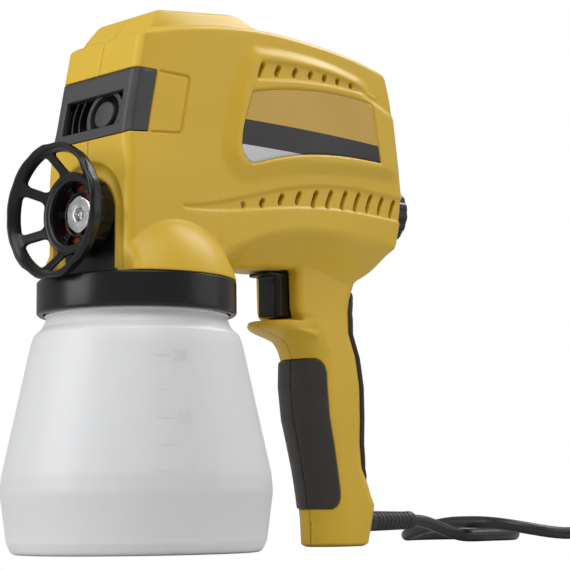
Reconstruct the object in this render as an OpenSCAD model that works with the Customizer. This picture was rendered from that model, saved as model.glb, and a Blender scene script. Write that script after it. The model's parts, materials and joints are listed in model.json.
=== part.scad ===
// Handheld airless paint sprayer with a screw-on paint jar.
// The origin is on the jar's axis at the floor. +X is the spraying direction,
// +Y the operator's left-hand side and +Z up. All sizes are in millimetres.

/* [Housing] */
// Half of the housing's width at its widest place
body_half = 29.2; // [27:0.1:34]
// Height of the crowned top above the floor
body_top = 240.4; // [236:0.1:250]
// Front face below the front panel, from the jar's axis
front_x = 27.8; // [26:0.1:32]
// Rearmost point of the housing, as a distance behind the jar's axis
rear_reach = 165; // [158:0.5:180]
// Wall of the two housing shells
shell_wall = 2.5; // [2:0.1:3.2]
// Gap at the seam of the two shells
seam_gap = 0.1; // [0.05:0.01:0.3]
// Radius of the top edges
top_edge_r = 3; // [2:0.1:5]
// Height of the raised hump above the crowned top
hump_h = 7; // [4:0.5:10]
// Height of the raised frame round the side label
bezel_h = 2.4; // [1.5:0.1:3.5]

/* [Vents] */
// Width of one cooling slot
slot_w = 2.5; // [1.5:0.1:3.5]
// Distance between neighbouring slots
slot_pitch = 11.3; // [10:0.1:12]
// Slots in the lower row
lower_slots = 11; // [3:1:11]
// Slots in the upper row
upper_slots = 7; // [3:1:7]

/* [Handle] */
// Half of the handle's width at the grips
handle_half = 16.3; // [14:0.1:19]
// How far the soft grips stand out of the handle
grip_proud = 1; // [0.4:0.1:2]
// Depth of the recess that holds the soft grips
grip_sunk = 1.2; // [0.8:0.1:1.6]

/* [Trigger] */
// Half of the trigger's width
trigger_half = 7.3; // [5:0.1:8.5]
// Height of the trigger
trigger_h = 19; // [14:0.5:20]
// Travel of the trigger
trigger_travel = 5; // [3:0.1:6]

/* [Jar] */
// Largest radius of the jar
jar_r = 60; // [52:0.5:64]
// Height of the jar's widest place above the floor
jar_wide_z = 28; // [20:0.5:40]
// How far the jar's shoulder stands out from its neck
shoulder_step = 5; // [3.5:0.1:7.5]
// Outer radius of the jar's neck
neck_r = 40.4; // [38:0.1:41]
// Wall of the jar
jar_wall = 1.6; // [1.2:0.1:2.4]
// Wall of the collar round the jar's neck
collar_wall = 2.9; // [2:0.1:4]
// Top of the collar above the floor
collar_top = 119.8; // [118:0.1:120]
// Height of the collar
collar_h = 15.3; // [13:0.1:16]

/* [Nozzle] */
// Height of the spray axis above the collar
nozzle_rise = 27.3; // [25:0.1:30]
// Outer radius of the guard's rim
guard_r = 29.1; // [27:0.1:32]
// Front of the guard's rim, from the jar's axis
guard_front = 51; // [47:0.5:56]
// Depth of the guard's rim
rim_depth = 6; // [4:0.5:8]
// Spokes of the guard
spokes = 7; // [4:1:8]
// Hexagon of the nozzle, across its corners
hex_d = 18; // [15:0.5:18]

/* [Pump] */
// Radius of the piston
piston_r = 4; // [3:0.1:5]
// Running clearance of the piston, on the radius
piston_fit = 0.04; // [0.02:0.01:0.08]
// Stroke of the piston
stroke = 1; // [0.5:0.1:1.2]

/* [Volume knob] */
// Radius of the knob
knob_r = 16; // [12:0.5:18]
// Height of the knob's axis above the floor
knob_z = 169.5; // [166:0.5:174]

/* [Mains lead] */
// Diameter of the mains lead
cord_d = 6.4; // [6:0.1:7]
// Radius of the strain relief where it leaves the handle
sleeve_r = 5.2; // [4.8:0.1:5.6]
// Turns in the put-away coil
coil_turns = 6.5; // [4.5:1:8.5]
// Mean radius of the put-away coil
coil_r = 38; // [32:0.5:38]
// Radius of the plug's contact pins
pin_r = 2; // [1.95:0.01:2.05]
// Free length of the plug's contact pins
pin_len = 19; // [18:0.5:20]
// Distance between the plug's pins
pin_pitch = 18.6; // [17.5:0.1:19]

/* [Hidden] */

// Finish colours
yellow = "#dcb43c";
black = "#262627";
panel_grey = "#4b4b4e";
soft_black = "#33312f";
steel = "#b9bcc0";
brass = "#c8a24a";

// Sizes that follow from those above
nozzle_z = collar_top + nozzle_rise;
shoulder_r = neck_r + shoulder_step;
collar_in = neck_r + 1.3;
collar_r = collar_in + collar_wall;
lid_r = neck_r - 0.8; // flange that closes the jar
lid_z = collar_top - 7.2;

eps = 0.01;
seat = 0.3; // gap between a moving piece and its seat
fit = 0.1; // gap between fixed pieces

// ---- small helpers -------------------------------------------------------

// Heights in the tables below are for a top at drawn_top, and stretch with body_top
drawn_top = 240.4;
drawn_low = 172;
stretch = (body_top - drawn_low) / (drawn_top - drawn_low);
function up(z) = z > drawn_low ? drawn_low + (z - drawn_low) * stretch : z;
function blend_to(a, b, t) = a + (b - a) * min(1, max(0, t));
// Rise of a quarter circle of radius r at distance d from its start
function corner(r, d) = r - sqrt(max(0, r * r - pow(min(r, max(0, d)), 2)));
// Value of a table of [key, value] rows at key x, straight between its rows
function table_at(t, x, c = 1) = lookup(x, [for (row = t) [row[0], row[c]]]);

// A closed solid through rings of points that all run the same way round
module loft(rings) {
    n = len(rings[0]);
    m = len(rings);
    sides = [for (i = [0:m - 2], j = [0:n - 1], k = [0, 1])
        let (a = i * n + j, b = i * n + (j + 1) % n)
        k == 0 ? [a, b, b + n] : [a, b + n, a + n]];
    // the end caps are ladders between the two sides of the ring
    cap = concat([[0, 1, n - 1]], [for (i = [1:floor(n / 2)], k = [0, 1])
        if (i + 1 + k < n - i) k == 0 ? [i, i + 1, n - i] : [i + 1, n - i - 1, n - i]]);
    first = [for (f = cap) [f[2], f[1], f[0]]];
    last = [for (f = cap) [for (q = f) q + (m - 1) * n]];
    polyhedron(points = [for (r = rings) each r], faces = concat(sides, first, last));
}

// A curved plate between an outer and an inner grid of points
module plate(outer, inner) {
    c = len(outer[0]);
    r = len(outer);
    size = r * c;
    skin = [for (i = [0:r - 2], j = [0:c - 2], k = [0, 1])
        let (a = i * c + j)
        k == 0 ? [a, a + c + 1, a + 1] : [a, a + c, a + c + 1]];
    back = [for (f = skin) [f[2] + size, f[1] + size, f[0] + size]];
    rim = concat([for (j = [0:c - 1]) j], [for (i = [1:r - 1]) i * c + c - 1],
        [for (j = [c - 2:-1:0]) (r - 1) * c + j], [for (i = [r - 2:-1:1]) i * c]);
    n = len(rim);
    walls = [for (k = [0:n - 1], s = [0, 1])
        let (a = rim[k], b = rim[(k + 1) % n])
        s == 0 ? [a, b, a + size] : [b, b + size, a + size]];
    polyhedron(points = concat([for (row = outer) each row], [for (row = inner) each row]),
        faces = concat(skin, back, walls));
}

// Rings of a round tube of radius r along the points of a path
function direction(p, i) = let (d = p[min(i + 1, len(p) - 1)] - p[max(i - 1, 0)]) d / norm(d);
function square_to(d) = let (s = abs(d[2]) < 0.9 ? cross(d, [0, 0, 1]) : cross(d, [0, 1, 0]))
    s / norm(s);
function tube_rings(p, r, sides) = [for (i = [0:len(p) - 1])
    let (d = direction(p, i), u = square_to(d), v = cross(u, d))
    [for (k = [0:sides - 1]) let (a = 360 * (k + 0.5) / sides)
        p[i] + r * (cos(a) * u + sin(a) * v)]];
module tube(p, r, sides) { loft(tube_rings(p, r, sides)); }

// A smooth curve through points chosen by hand: s steps in each span
function spline_point(p, i, t) =
    let (n = len(p) - 1, a = p[max(i - 1, 0)], b = p[i], c = p[i + 1], d = p[min(i + 2, n)])
    0.5 * (2 * b + (c - a) * t + (2 * a - 5 * b + 4 * c - d) * t * t
        + (3 * b - a - 3 * c + d) * t * t * t);
function spline(p, s) = concat([for (i = [0:len(p) - 2], k = [0:s - 1])
    spline_point(p, i, k / s)], [p[len(p) - 1]]);

// A compression spring along +X from x0 to x1, with closed straight ends
module spring(x0, x1, r, wire, turns) {
    steps = turns * 8;
    step = (x1 - x0 - 2 * wire) / steps;
    loft([for (k = [0:steps])
        let (out = [0, cos(45 * k), sin(45 * k)],
            d = [step, -r * PI / 4 * sin(45 * k), r * PI / 4 * cos(45 * k)],
            side = cross(out, d / norm(d)))
        [for (j = [0:5]) [x0 + wire + step * k, 0, 0] + r * out
            + wire * (cos(60 * j) * out + sin(60 * j) * side)]]);
}

module along_x(x = 0, y = 0, z = 0) { translate([x, y, z]) rotate([0, 90, 0]) children(); }
module ring_x(x0, x1, r, hole) {
    along_x(x0) difference() {
        cylinder(r = r, h = x1 - x0, $fn = 64);
        translate([0, 0, -1]) cylinder(r = hole, h = x1 - x0 + 2, $fn = 64);
    }
}

// ---- outer form of the housing -------------------------------------------

wide_x = -55; // where the housing is widest
front_plan_r = 820; // plan curve from there forwards
rear_plan_r = 565; // plan curve from there backwards
crown_front = [-72, 305]; // where the top starts to fall forwards, and its radius
crown_rear = [-100, 290];
fold_z = 151.3; // height of the fold between side and underside
fold_x = -115; // where the fold starts to dive forwards
fold_r = 204;
under_half = 15; // half width of the flat underside
floor_z = collar_top + 0.2; // where the shells stop above the collar
rear_x = -rear_reach;
panel_low = up(180.5);
panel_high = up(210.6);
panel_lean = 6.2;
rake = [[118, 0], [panel_low, 0], [panel_high, -panel_lean], [up(226.5), -9.7], [up(229.4), -12.6],
    [up(250), -13]];
panel_tilt = atan(panel_lean / (panel_high - panel_low));

function plan_half(x) = body_half
    - pow(x - wide_x, 2) / (2 * (x > wide_x ? front_plan_r : rear_plan_r));
function crown(x) = body_top
    - pow(max(0, x - crown_front[0]), 2) / (2 * crown_front[1])
    - pow(max(0, crown_rear[0] - x), 2) / (2 * crown_rear[1]);
function fold_at(x) = fold_z - pow(max(0, x - fold_x), 2) / (2 * fold_r);
under_table = [[-165, 158], [-161, 151.5], [-157.5, 147.7], [-151, 142.4], [-145, 138.3],
    [-136, 133.9], [-127.5, 130.9], [-118, 131.2], [-103, 134], [-90, 133], [-82, 132.2],
    [-68, 131.6], [-52.5, 129], [-42, 127.4], [-30, 127], [-28, floor_z]];
function under_at(x) = table_at(under_table, x);
// Backward lean of the front face and forward lean of the rounded rear
function front_lean(x, z) = table_at(rake, z) * min(1, max(0, (x + 10) / (front_x + 10)));
function rear_lean(x, z) = pow(z - 172, 2) / 430 * min(1, max(0, (-100 - x) / (rear_reach - 100)));

// One cross-section, from the underside's middle up to the top's, m inside the skin
function section(x, m) =
    let (inside = m > 0,
        ends = corner(4, x - m - (front_x - 4 - 2 * m)) + corner(14, (rear_x + 14 + m) - x - m),
        top = crown(x - 13 * min(1, max(0, (x + 10) / 37.8))) - m
            - corner(13, rear_x + 13 + m - x),
        w = plan_half(x) - m - ends,
        low = under_at(x) + (x > -29 ? 0 : m) - (inside && x > -29 ? 3 : 0),
        flat = min(w - 0.6, blend_to(w - 0.6, under_half, (-24 - x) / 20)),
        fold = max(fold_at(x), low + 2),
        r = top_edge_r,
        base = inside ? -1 : 0)
    [[base, low], [flat, low], [blend_to(flat, w, 0.9), blend_to(low, fold, 0.8)],
        [w - 0.2, blend_to(low, fold, 1) + 2], [w, fold + 7], [w, up(175)], [w, panel_low],
        [w, up(196)], [w, panel_high], [w, top - r], [w - 0.3 * r, top - 0.3 * r],
        [w - r, top], [base, top + 1]];
// The section's points in space, with its middle line added so that the ends keep their rake
function placed(x, m) =
    let (side = section(x, m), n = len(side),
        ring = concat(side, [for (i = [n - 2:-1:1]) [side[0][0], side[i][1]]]))
    [for (q = ring) [x + front_lean(x, q[1]) + rear_lean(x, q[1]), q[0], q[1]]];
front_stations = [0, 0.6, 1.5, 2.7, 4, 9];
body_stations = [11, 2, -8, -18, -28, -30, -36, -42, -50, -60, -70, -80, -90, -100, -110,
    -120, -131, -137, -143, -148];
rear_stations = [14, 11, 8, 5.5, 3.5, 2, 1, 0.3];
function stations(m) = concat([for (d = front_stations) front_x - m - d],
    body_stations, [for (d = rear_stations) rear_x + m + d]);
inner_stations = [23, 16, -8, -27, -31, -42, -50, -68, -84, -103, -118, -127.5, -136, -145];
module body_skin(m) { loft([for (x = stations(m)) placed(x, m)]); }
module body_cavity(m) {
    loft([for (x = concat([front_x - m, front_x - m - 1.5], inner_stations,
        [rear_x + m + 10, rear_x + m + 4, rear_x + m + 0.6])) placed(x, m)]);
}

// A strip that follows the side wall, from d0 to d1 outside it, between two height curves
function side_ring(x, low, high, d0, d1, edge) = let (w = plan_half(x))
    [[x, w + d0, low - edge], [x, w + d1, low], [x, w + d1, high], [x, w + d0, high + edge]];

// ---- handle ----------------------------------------------------------------

// Height, front, rear and half width of the handle
handle_table = [[0, -112.6, -145, 12.5], [1.5, -111.4, -146.5, 13.8], [12, -111.4, -149, 14.4],
    [20, -110.6, -150.8, 14.6], [25, -109.9, -148, 14.7], [30, -109, -146, 14.8],
    [38, -107.4, -141.5, 15], [50, -104.6, -140.3, 15.6], [62, -101.4, -141, 16],
    [78, -99.6, -141, 16.3], [92, -100.2, -138.6, 16.3], [104, -94, -134, 16],
    [114, -90.5, -132.5, 15.6], [138, -90, -133, 15.6]];
neck_square = 0.55; // how boxy the neck is compared with the rounded grips
function handle_at(z, c) = table_at(handle_table, z, c);
function handle_w(z) = handle_at(z, 3) + handle_half - 16.3;
// A point of the handle's outline: a = 0 at the front, 180 at the rear, d outside the skin
function handle_point(z, a, d) =
    let (front = handle_at(z, 1), rear = handle_at(z, 2), w = handle_w(z),
        boxy = z > 108 ? blend_to(1, neck_square, (z - 108) / 6) : 1,
        fa = 13 * boxy, ra = 12,
        cx = a <= 90 ? front - fa : rear + ra,
        ax = a <= 90 ? fa : ra,
        e = a <= 90 ? boxy : 1)
    [cx + (ax + d) * sign(cos(a)) * pow(abs(cos(a)), e), (w + d) * pow(abs(sin(a)), e), z];
handle_levels = [0, 1.5, 12, 20, 25, 30, 38, 50, 62, 78, 92, 98, 104, 108, 111, 114, 138];
cavity_levels = [2.5, 20, 30, 38, 50, 62, 92, 104, 114, 134];
// The half outline at height z, in steps of s degrees, closed on the seam side
function half_outline(z, d, s) = let (y0 = d < 0 ? -1 : 0)
    [for (a = concat([for (q = [0:s:90]) q], [for (q = [90:s:180]) q])) let (p = handle_point(z, a, d))
        [p[0], a == 0 || a == 180 ? y0 : p[1], z]];
module handle_skin(d) { loft([for (i = [len(handle_levels) - 1:-1:0]) half_outline(handle_levels[i], d, 15)]); }
module handle_cavity(d) { loft([for (i = [len(cavity_levels) - 1:-1:0]) half_outline(cavity_levels[i], -d, 30)]); }

// The finger guard under the trigger
lip_top = 108.4;
// Underside of the guard: height, frontmost point and half width of each layer
lip_layers = [[90.8, -100.2, 12.5], [94, -99.2, 13.6], [97.5, -97.2, 14.6], [100, -94, 15.3],
    [101.8, -88.5, 15.8], [103.2, -82, 15.6], [104.4, -77.8, 15], [105.8, -76.4, 15.2],
    [lip_top, -77, 15.2]];
function lip_ring(row) = concat([[-112, 0, row[0]]], [for (a = [0:15:90])
    [row[1] - 13 + 13 * cos(a), row[2] * sin(a), row[0]]], [[-112, row[2], row[0]]]);
module lip() { loft([for (i = [len(lip_layers) - 1:-1:0]) lip_ring(lip_layers[i])]); }

// ---- soft grips --------------------------------------------------------------

grip_low = 18.5;
grip_high = 90.6;
grip_angle = 71; // how far round the handle each front grip reaches
// Rows of the grip: a fraction of the height, and of the reach at its rounded corners
grip_rows = [[0, 0.72], [0.02, 0.86], [0.06, 0.97], [0.11, 1], [0.25, 1], [0.4, 1], [0.55, 1],
    [0.7, 1], [0.82, 1], [0.9, 0.985], [0.95, 0.92], [0.985, 0.8], [1, 0.66]];
module grip_solid(c) {
    function grid(d) = [for (row = grip_rows)
        let (z = grip_low - c + row[0] * (grip_high - grip_low + 2 * c), reach = grip_angle * row[1] + 3 * c)
        [for (k = [0:6]) let (p = handle_point(z, max(0.01, reach * k / 6), d))
            [p[0], k == 0 ? (c > 0 ? -1 : seam_gap / 2) : max(p[1], seam_gap / 2), z]]];
    plate(grid(grip_proud + c), grid(-grip_sunk - c));
}

rear_grip_low = 31;
rear_grip_high = 124;
function rear_reach_angle(z) = let (t = (z - rear_grip_low) / (rear_grip_high - rear_grip_low))
    132 + 30 * pow(abs(2 * t - 1), 6);
module rear_grip_solid(c) {
    rows = 10;
    function grid(d) = [for (i = [0:rows])
        let (z = rear_grip_low - c + (rear_grip_high - rear_grip_low + 2 * c) * i / rows,
            edge = rear_reach_angle(z) - 14 * c)
        [for (k = [4:-1:-4]) let (a = 180 - (180 - edge) * abs(k) / 4,
            p = handle_point(z, a, d)) [p[0], sign(k) * p[1], z]]];
    plate(grid(grip_proud + 1 + c), grid(-grip_sunk - c));
}

// ---- details of one housing shell ------------------------------------------

label_x = [-39, -46, -60, -75, -90, -105, -120, -135, -140];
label_low = [[-140, 190.6], [-120, 190], [-100, 188.4], [-82, 185.6], [-60, 179.6],
    [-48, 176.8], [-44, 177.2], [-39, 183]];
label_high = [[-140, 212], [-134, 218.7], [-106, 219.7], [-76, 217.1], [-46, 211.8], [-39, 196]];
bezel_x = [-27, -29, -34, -42, -60, -80, -100, -120, -135, -146];
bezel_low = [[-146, 182], [-120, 180], [-100, 178], [-80, 175], [-60, 171], [-42, 167.5],
    [-34, 169.5], [-29, 176], [-27, 186]];
bezel_high = [[-146, 228], [-120, 232.5], [-100, 234], [-80, 234.5], [-60, 233], [-42, 230.5],
    [-34, 215], [-29, 203], [-27, 188]];
channel_x = [-45.5, -48, -60, -75, -90, -105, -118, -128];
channel_low = [[-128, 222.5], [-105, 223.6], [-75, 221.4], [-60, 219.4], [-45.5, 216.4]];
channel_high = [[-128, 223.5], [-118, 226.6], [-105, 228.6], [-90, 229.6], [-75, 229],
    [-60, 227.8], [-48, 226.4], [-45.5, 218]];
groove_x = [-2, -20, -36, -60, -85, -110, -135, -148, -156];
groove_low = [[-156, 163.8], [-135, 163.8], [-110, 163.6], [-85, 162], [-60, 158], [-36, 153.6],
    [-20, 151.4], [-2, 151]];
groove_high = [[-156, 173], [-135, 173], [-110, 171.4], [-85, 168.8], [-60, 163.8], [-36, 157.6],
    [-20, 153.8], [-2, 151.8]];

module side_strip(xs, low, high, d0, d1, edge) {
    loft([for (x = xs) side_ring(x, up(table_at(low, x)), up(table_at(high, x)), d0, d1, edge)]);
}

// A round-ended slot through the side wall at x, leaning back by lean degrees
module slot(x, z, h, lean) {
    y0 = plan_half(x) - 8;
    translate([x, y0, z]) rotate([0, -lean, 0]) rotate([-90, 0, 0]) hull() {
        translate([0, h / 2 - slot_w / 2, 0]) cylinder(d = slot_w, h = 14, $fn = 8);
        translate([0, -h / 2 + slot_w / 2, 0]) cylinder(d = slot_w, h = 14, $fn = 8);
    }
}
module lower_vents() {
    for (i = [0:lower_slots - 1]) {
        x = -39.2 - i * slot_pitch;
        z = (table_at(groove_low, x) + table_at(groove_high, x)) / 2;
        slot(x, z, slot_w + 0.3 + 0.52 * i, 12);
    }
}
module upper_vents() {
    for (i = [0:upper_slots - 1]) {
        x = -50.7 - i * (slot_pitch - 0.4);
        z = up((table_at(channel_low, x) + table_at(channel_high, x)) / 2);
        slot(x, z, max(slot_w, (8 - 0.9 * i) * stretch), 12);
    }
}

dome_r = collar_r + 1.9;
dome_z = collar_top - 13;
module dome(m) {
    intersection() {
        translate([0, 0, dome_z]) sphere(r = dome_r - m, $fn = 60);
        translate([-60, m > 0 ? -1 : 0, floor_z - (m > 0 ? 1 : 0)])
            cube([60 + front_x - m, 60, 40]);
    }
}

module hump() {
    low = body_top - 18.4;
    hull() {
        translate([5.3, 0, low]) cube([eps, 20.4, 17.4]);
        translate([-42, 0, low]) cube([eps, 21, crown(-42) + hump_h - low]);
        translate([13.6, 0, low]) cube([eps, 22.6, 7.4]);
        translate([-58, 0, low]) cube([eps, 23, crown(-58) + 0.6 - low]);
        translate([-30, 0, low]) cube([eps, 26.6, crown(-30) - 0.6 - low]);
        translate([0, 0, low]) cube([eps, 25.4, crown(0) - 0.6 - low]);
    }
}

// The frame in which the front panel is square: +X out of the raked face
module panel_frame() { translate([front_x, 0, panel_low]) rotate([0, -panel_tilt, 0]) children(); }
panel_h = (panel_high - panel_low) / cos(panel_tilt);
panel_wrap = 11.2; // length of the panel's side arms
panel_t = 3;
window = [38.8, panel_h * 0.524]; // width and height of the panel's window
window_low = panel_h * 0.169; // its lower edge, above the panel's
field_len = 18; // of the outlined side field behind each arm
low_rise = 0.31; // rise of the arms' lower edges for each millimetre back; the upper are level
low_step = [1.5, 1.2]; // the lower edge's turn round the corner: run and rise
function arm_low(d) = low_step[1] + low_rise * (d - low_step[0]);
function arm_high(d) = panel_h + d * tan(panel_tilt);
// Half width of the panel, d behind its face
function panel_w(d) = plan_half(front_x - d) + 0.1;
// Plan of the panel from d0 to d1 behind its face, m inside the skin
module panel_plan(d0, d1, m) {
    polygon([[-d0, -panel_w(d0) + m], [-d0, panel_w(d0) - m],
        [-d1, panel_w(d1) - m], [-d1, -panel_w(d1) + m]]);
}
// Side view of the panel, from its face back to d
module panel_side(d) {
    polygon([[4, 0], [0, 0], [-low_step[0], low_step[1]], [-d, arm_low(d)], [-d, arm_high(d)],
        [0, panel_h], [4, panel_h]]);
}
module sideways(y0, y1) { translate([0, y1, 0]) rotate([90, 0, 0]) linear_extrude(y1 - y0) children(); }
module panel_solid() {
    intersection() {
        translate([0, 0, -1]) linear_extrude(panel_h + 8) difference() {
            panel_plan(0, panel_wrap, 0);
            panel_plan(panel_t, panel_wrap + 5, panel_t);
            for (s = [-1, 1]) scale([1, s]) translate([0, panel_w(2)]) corner_cut(4);
        }
        sideways(-40, 40) panel_side(panel_wrap);
    }
}
// The space cut out of the shells for it
module panel_pocket() {
    difference() {
        sideways(-40, 40) offset(delta = fit) panel_side(panel_wrap);
        translate([0, 0, -5]) linear_extrude(panel_h + 20)
            panel_plan(panel_t + fit, panel_wrap + 5, panel_t + fit);
    }
}
module corner_cut(r) {
    difference() {
        translate([-r, -r]) square(r + 1);
        translate([-r, -r]) circle(r = r, $fn = 48);
    }
}

// Screw posts: place in the side view, and how far the screw's head lies from the seam
screw_places = [[-2, up(217), 19], [-128, up(205), 15], [-140, 158, 12], [-58, 137, 12],
    [-128, 98, 11], [-137, 25.6, 9]];
post_r = 4.2;
module posts() {
    for (p = screw_places) translate([p[0], 0, p[1]]) rotate([-90, 0, 0])
        cylinder(r = post_r, h = 40, $fn = 8);
}
module post_holes(right) {
    for (p = screw_places) translate([p[0], -1, p[1]]) rotate([-90, 0, 0]) {
        cylinder(r = 2, h = right ? 45 : 11, $fn = 8);
        if (right) translate([0, 0, p[2] - 3]) cylinder(r = 3.8, h = 45, $fn = 12);
    }
}

arch_r = 17.5; // half width of the pump's arched front
module arch_opening(grow, depth) {
    along_x(front_x - depth, 0, nozzle_z) {
        cylinder(r = arch_r + grow, h = depth + 2, $fn = 48);
        translate([0, -arch_r - grow, 0]) cube([nozzle_z - floor_z + 4, 2 * (arch_r + grow), depth + 2]);
    }
}

trigger_z = 110.6; // bottom of the trigger
neck_front = -90.5;
module trigger_window(c) {
    translate([neck_front - 20, -trigger_half - c, trigger_z - c])
        cube([24, 2 * (trigger_half + c), trigger_h + flange_t + 2 * c]);
}

// One half of the housing, y >= 0
module half_shell(right) {
    difference() {
        union() {
            difference() {
                union() {
                    body_skin(0);
                    handle_skin(0);
                    dome(0);
                    lip();
                    hump();
                    side_strip(bezel_x, bezel_low, bezel_high, -1, bezel_h, 2.4);
                }
                body_cavity(shell_wall);
                handle_cavity(shell_wall);
                dome(shell_wall);
            }
            intersection() {
                posts();
                union() {
                    body_cavity(0.8);
                    handle_cavity(0.8);
                }
            }
        }
        side_strip(label_x, label_low, label_high, bezel_h - 1.6, bezel_h + 3, 0);
        side_strip(channel_x, channel_low, channel_high, bezel_h - 1.4, bezel_h + 3, 0);
        side_strip(groove_x, groove_low, groove_high, -1.1, 3, 0.6);
        lower_vents();
        upper_vents();
        post_holes(right);
        panel_frame() panel_pocket();
        panel_frame() side_groove();
        arch_opening(0.5, 20);
        hull() {
            arch_opening(0.5, 3);
            arch_opening(3.4, -0.2);
        }
        trigger_window(0.4);
        grip_solid(fit);
        rear_grip_solid(fit);
        along_x(rear_x - 2, 0, knob_z) cylinder(r = bush_r + fit, h = 20, $fn = 32);
        along_x(-160, 0, cord_z) cylinder(r = sleeve_r + fit, h = 20, $fn = 24);
        translate([-200, seam_gap / 2 - 50, -1]) cube([300, 50, 300]);
    }
}
// Outline groove behind the panel's arm on the side
module side_groove() {
    d0 = panel_wrap + 1.3;
    d1 = panel_wrap + field_len;
    slope = atan((panel_w(d1) - panel_w(d0)) / field_len);
    translate([-d0, panel_w(d0) - 0.6, 0]) rotate(-slope) translate([d0, 0, 0]) sideways(0, 4)
        intersection() {
            difference() {
                offset(delta = 0.35) side_field(d1);
                offset(delta = -0.35) side_field(d1);
            }
            translate([-d1 - 5, -5]) square([d1 + 5 - d0, panel_h + 20]);
        }
}
module side_field(d) {
    offset(r = 1.5, $fn = 16) offset(delta = -1.5)
        polygon([[-d, arm_low(d)], [-d, arm_high(d)], [0, panel_h], [0, arm_low(0)]]);
}

module left_housing_shell() { color(yellow) union() half_shell(false); }
module right_housing_shell() { color(yellow) mirror([0, 1, 0]) union() half_shell(true); }

// ---- front panel ---------------------------------------------------------------

module window_solid(depth) {
    translate([-depth, 0, 0]) window_block(0, depth + 2);
}
module front_panel() {
    color(panel_grey) panel_frame() difference() {
        panel_solid();
        window_solid(8);
    }
}
// A tray behind the window, with concentric ribs round a disc that stand into it
insert_t = 5;
recess = 1.5; // from the panel's face back to the ribs
disc_r = 6.3;
disc_y = 6.3; // the disc lies to the left of the middle
disc_z = window_low + window[1] * 0.42;
rib_rings = [[9.5, 11.7], [17.2, 18.2], [21.9, 22.9]]; // inner and outer radius
module grille_insert() {
    color(black) panel_frame() translate([-panel_t - insert_t - fit, 0, 0]) {
        difference() {
            window_block(1.2, insert_t);
            translate([1.6, 0, 0]) window_block(0, insert_t);
        }
        intersection() {
            window_block(-fit, insert_t + panel_t + fit - recess);
            along_x(0, disc_y, disc_z) {
                for (r = rib_rings) difference() {
                    cylinder(r = r[1], h = 20, $fn = 64);
                    translate([0, 0, -1]) cylinder(r = r[0], h = 22, $fn = 64);
                }
                cylinder(r = disc_r, h = 20, $fn = 48);
            }
        }
    }
}
module window_block(grow, t) {
    translate([0, -window[0] / 2 - grow, window_low - grow])
        cube([t, window[0] + 2 * grow, window[1] + 2 * grow]);
}

// ---- labels and grips ------------------------------------------------------------

label_t = 0.8;
module label() {
    function grid(d) = [for (x = label_x) let (low = up(table_at(label_low, x)) + 0.4,
        high = up(table_at(label_high, x)) - 0.4, xs = x + (x > -42 ? -0.5 : x < -138 ? 0.5 : 0))
        [for (k = [0:2]) [xs, plan_half(x) + d, blend_to(high, low, k / 2)]]];
    plate(grid(bezel_h - 1.6 + fit + label_t), grid(bezel_h - 1.6 + fit));
}
module left_label_plate() { color("#c79a35") label(); }
module right_label_plate() { color("#c79a35") mirror([0, 1, 0]) label(); }
module left_grip() { color(soft_black) grip_solid(0); }
module right_grip() { color(soft_black) mirror([0, 1, 0]) grip_solid(0); }
module rear_grip() { color(soft_black) rear_grip_solid(0); }

// ---- pump ------------------------------------------------------------------------

cyl_r = 8;
pump_back = -12;
pump_front = 27.2;
lid_t = 3.4;
stub_r = 13.6;
module pump_housing() {
    color(black) difference() {
        union() {
            along_x(pump_back, 0, nozzle_z) {
                cylinder(r = arch_r, h = pump_front - pump_back, $fn = 64);
                translate([0, -arch_r, 0])
                    cube([nozzle_z - lid_z - lid_t + eps, 2 * arch_r, pump_front - pump_back]);
            }
            translate([0, 0, lid_z]) cylinder(r = lid_r, h = lid_t, $fn = 96);
            along_x(pump_front, 0, nozzle_z) cylinder(r = stub_r, h = 1.3, $fn = 64);
            translate([0, 0, lid_z - 4]) cylinder(r = 7, h = 5, $fn = 48);
        }
        along_x(pump_back - 1, 0, nozzle_z) cylinder(r = cyl_r + 0.05, h = 50, $fn = 64);
        translate([0, 0, lid_z - 5]) cylinder(r = suction_r + 0.05, h = 14, $fn = 48);
        translate([0, 0, lid_z]) cylinder(r = 3, h = nozzle_z - lid_z, $fn = 32);
        translate([-24, 0, lid_z - 1]) cylinder(r = return_r + 0.05, h = 8, $fn = 32);
    }
}
module pump_cylinder() {
    color(steel) difference() {
        along_x(pump_back, 0, nozzle_z) cylinder(r = cyl_r, h = 32, $fn = 64);
        along_x(pump_back - 1, 0, nozzle_z) cylinder(r = piston_r + piston_fit, h = 22, $fn = 64);
        along_x(pump_back + 20, 0, nozzle_z) cylinder(r = 2, h = 20, $fn = 32);
        along_x(pump_back + 26, 0, nozzle_z) cylinder(r = 5, h = 20, $fn = 48);
        translate([0, 0, nozzle_z - 10]) cylinder(r = 2.2, h = 10, $fn = 32);
    }
}
head_x = -22; // rear face of the piston's head
module piston() {
    color(steel) along_x(0, 0, nozzle_z) {
        translate([0, 0, head_x]) cylinder(r = 7, h = 2, $fn = 48);
        translate([0, 0, head_x]) cylinder(r = piston_r, h = -head_x + 2, $fn = 64);
    }
}
module piston_spring() {
    color(steel) translate([0, 0, nozzle_z]) spring(head_x + 2 + 0.1, pump_back - 0.1, 5.6, 0.6, 5);
}
valve_x = pump_back + 26;
module outlet_valve() {
    color(brass) along_x(valve_x + 0.1, 0, nozzle_z) {
        cylinder(r1 = 2.6, r2 = 4.2, h = 1.8, $fn = 48);
        translate([0, 0, 1.8]) cylinder(r = 4.2, h = 0.8, $fn = 48);
        translate([0, 0, 2.6]) cylinder(r = 1.6, h = 1.6, $fn = 32);
    }
}
module valve_spring() {
    color(steel) translate([0, 0, nozzle_z]) spring(valve_x + 2.8, spigot_x - 0.1, 3, 0.25, 3);
}
spigot_x = pump_back + 32 + 0.4;
seal_x = pump_front + 1.5;
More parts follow.
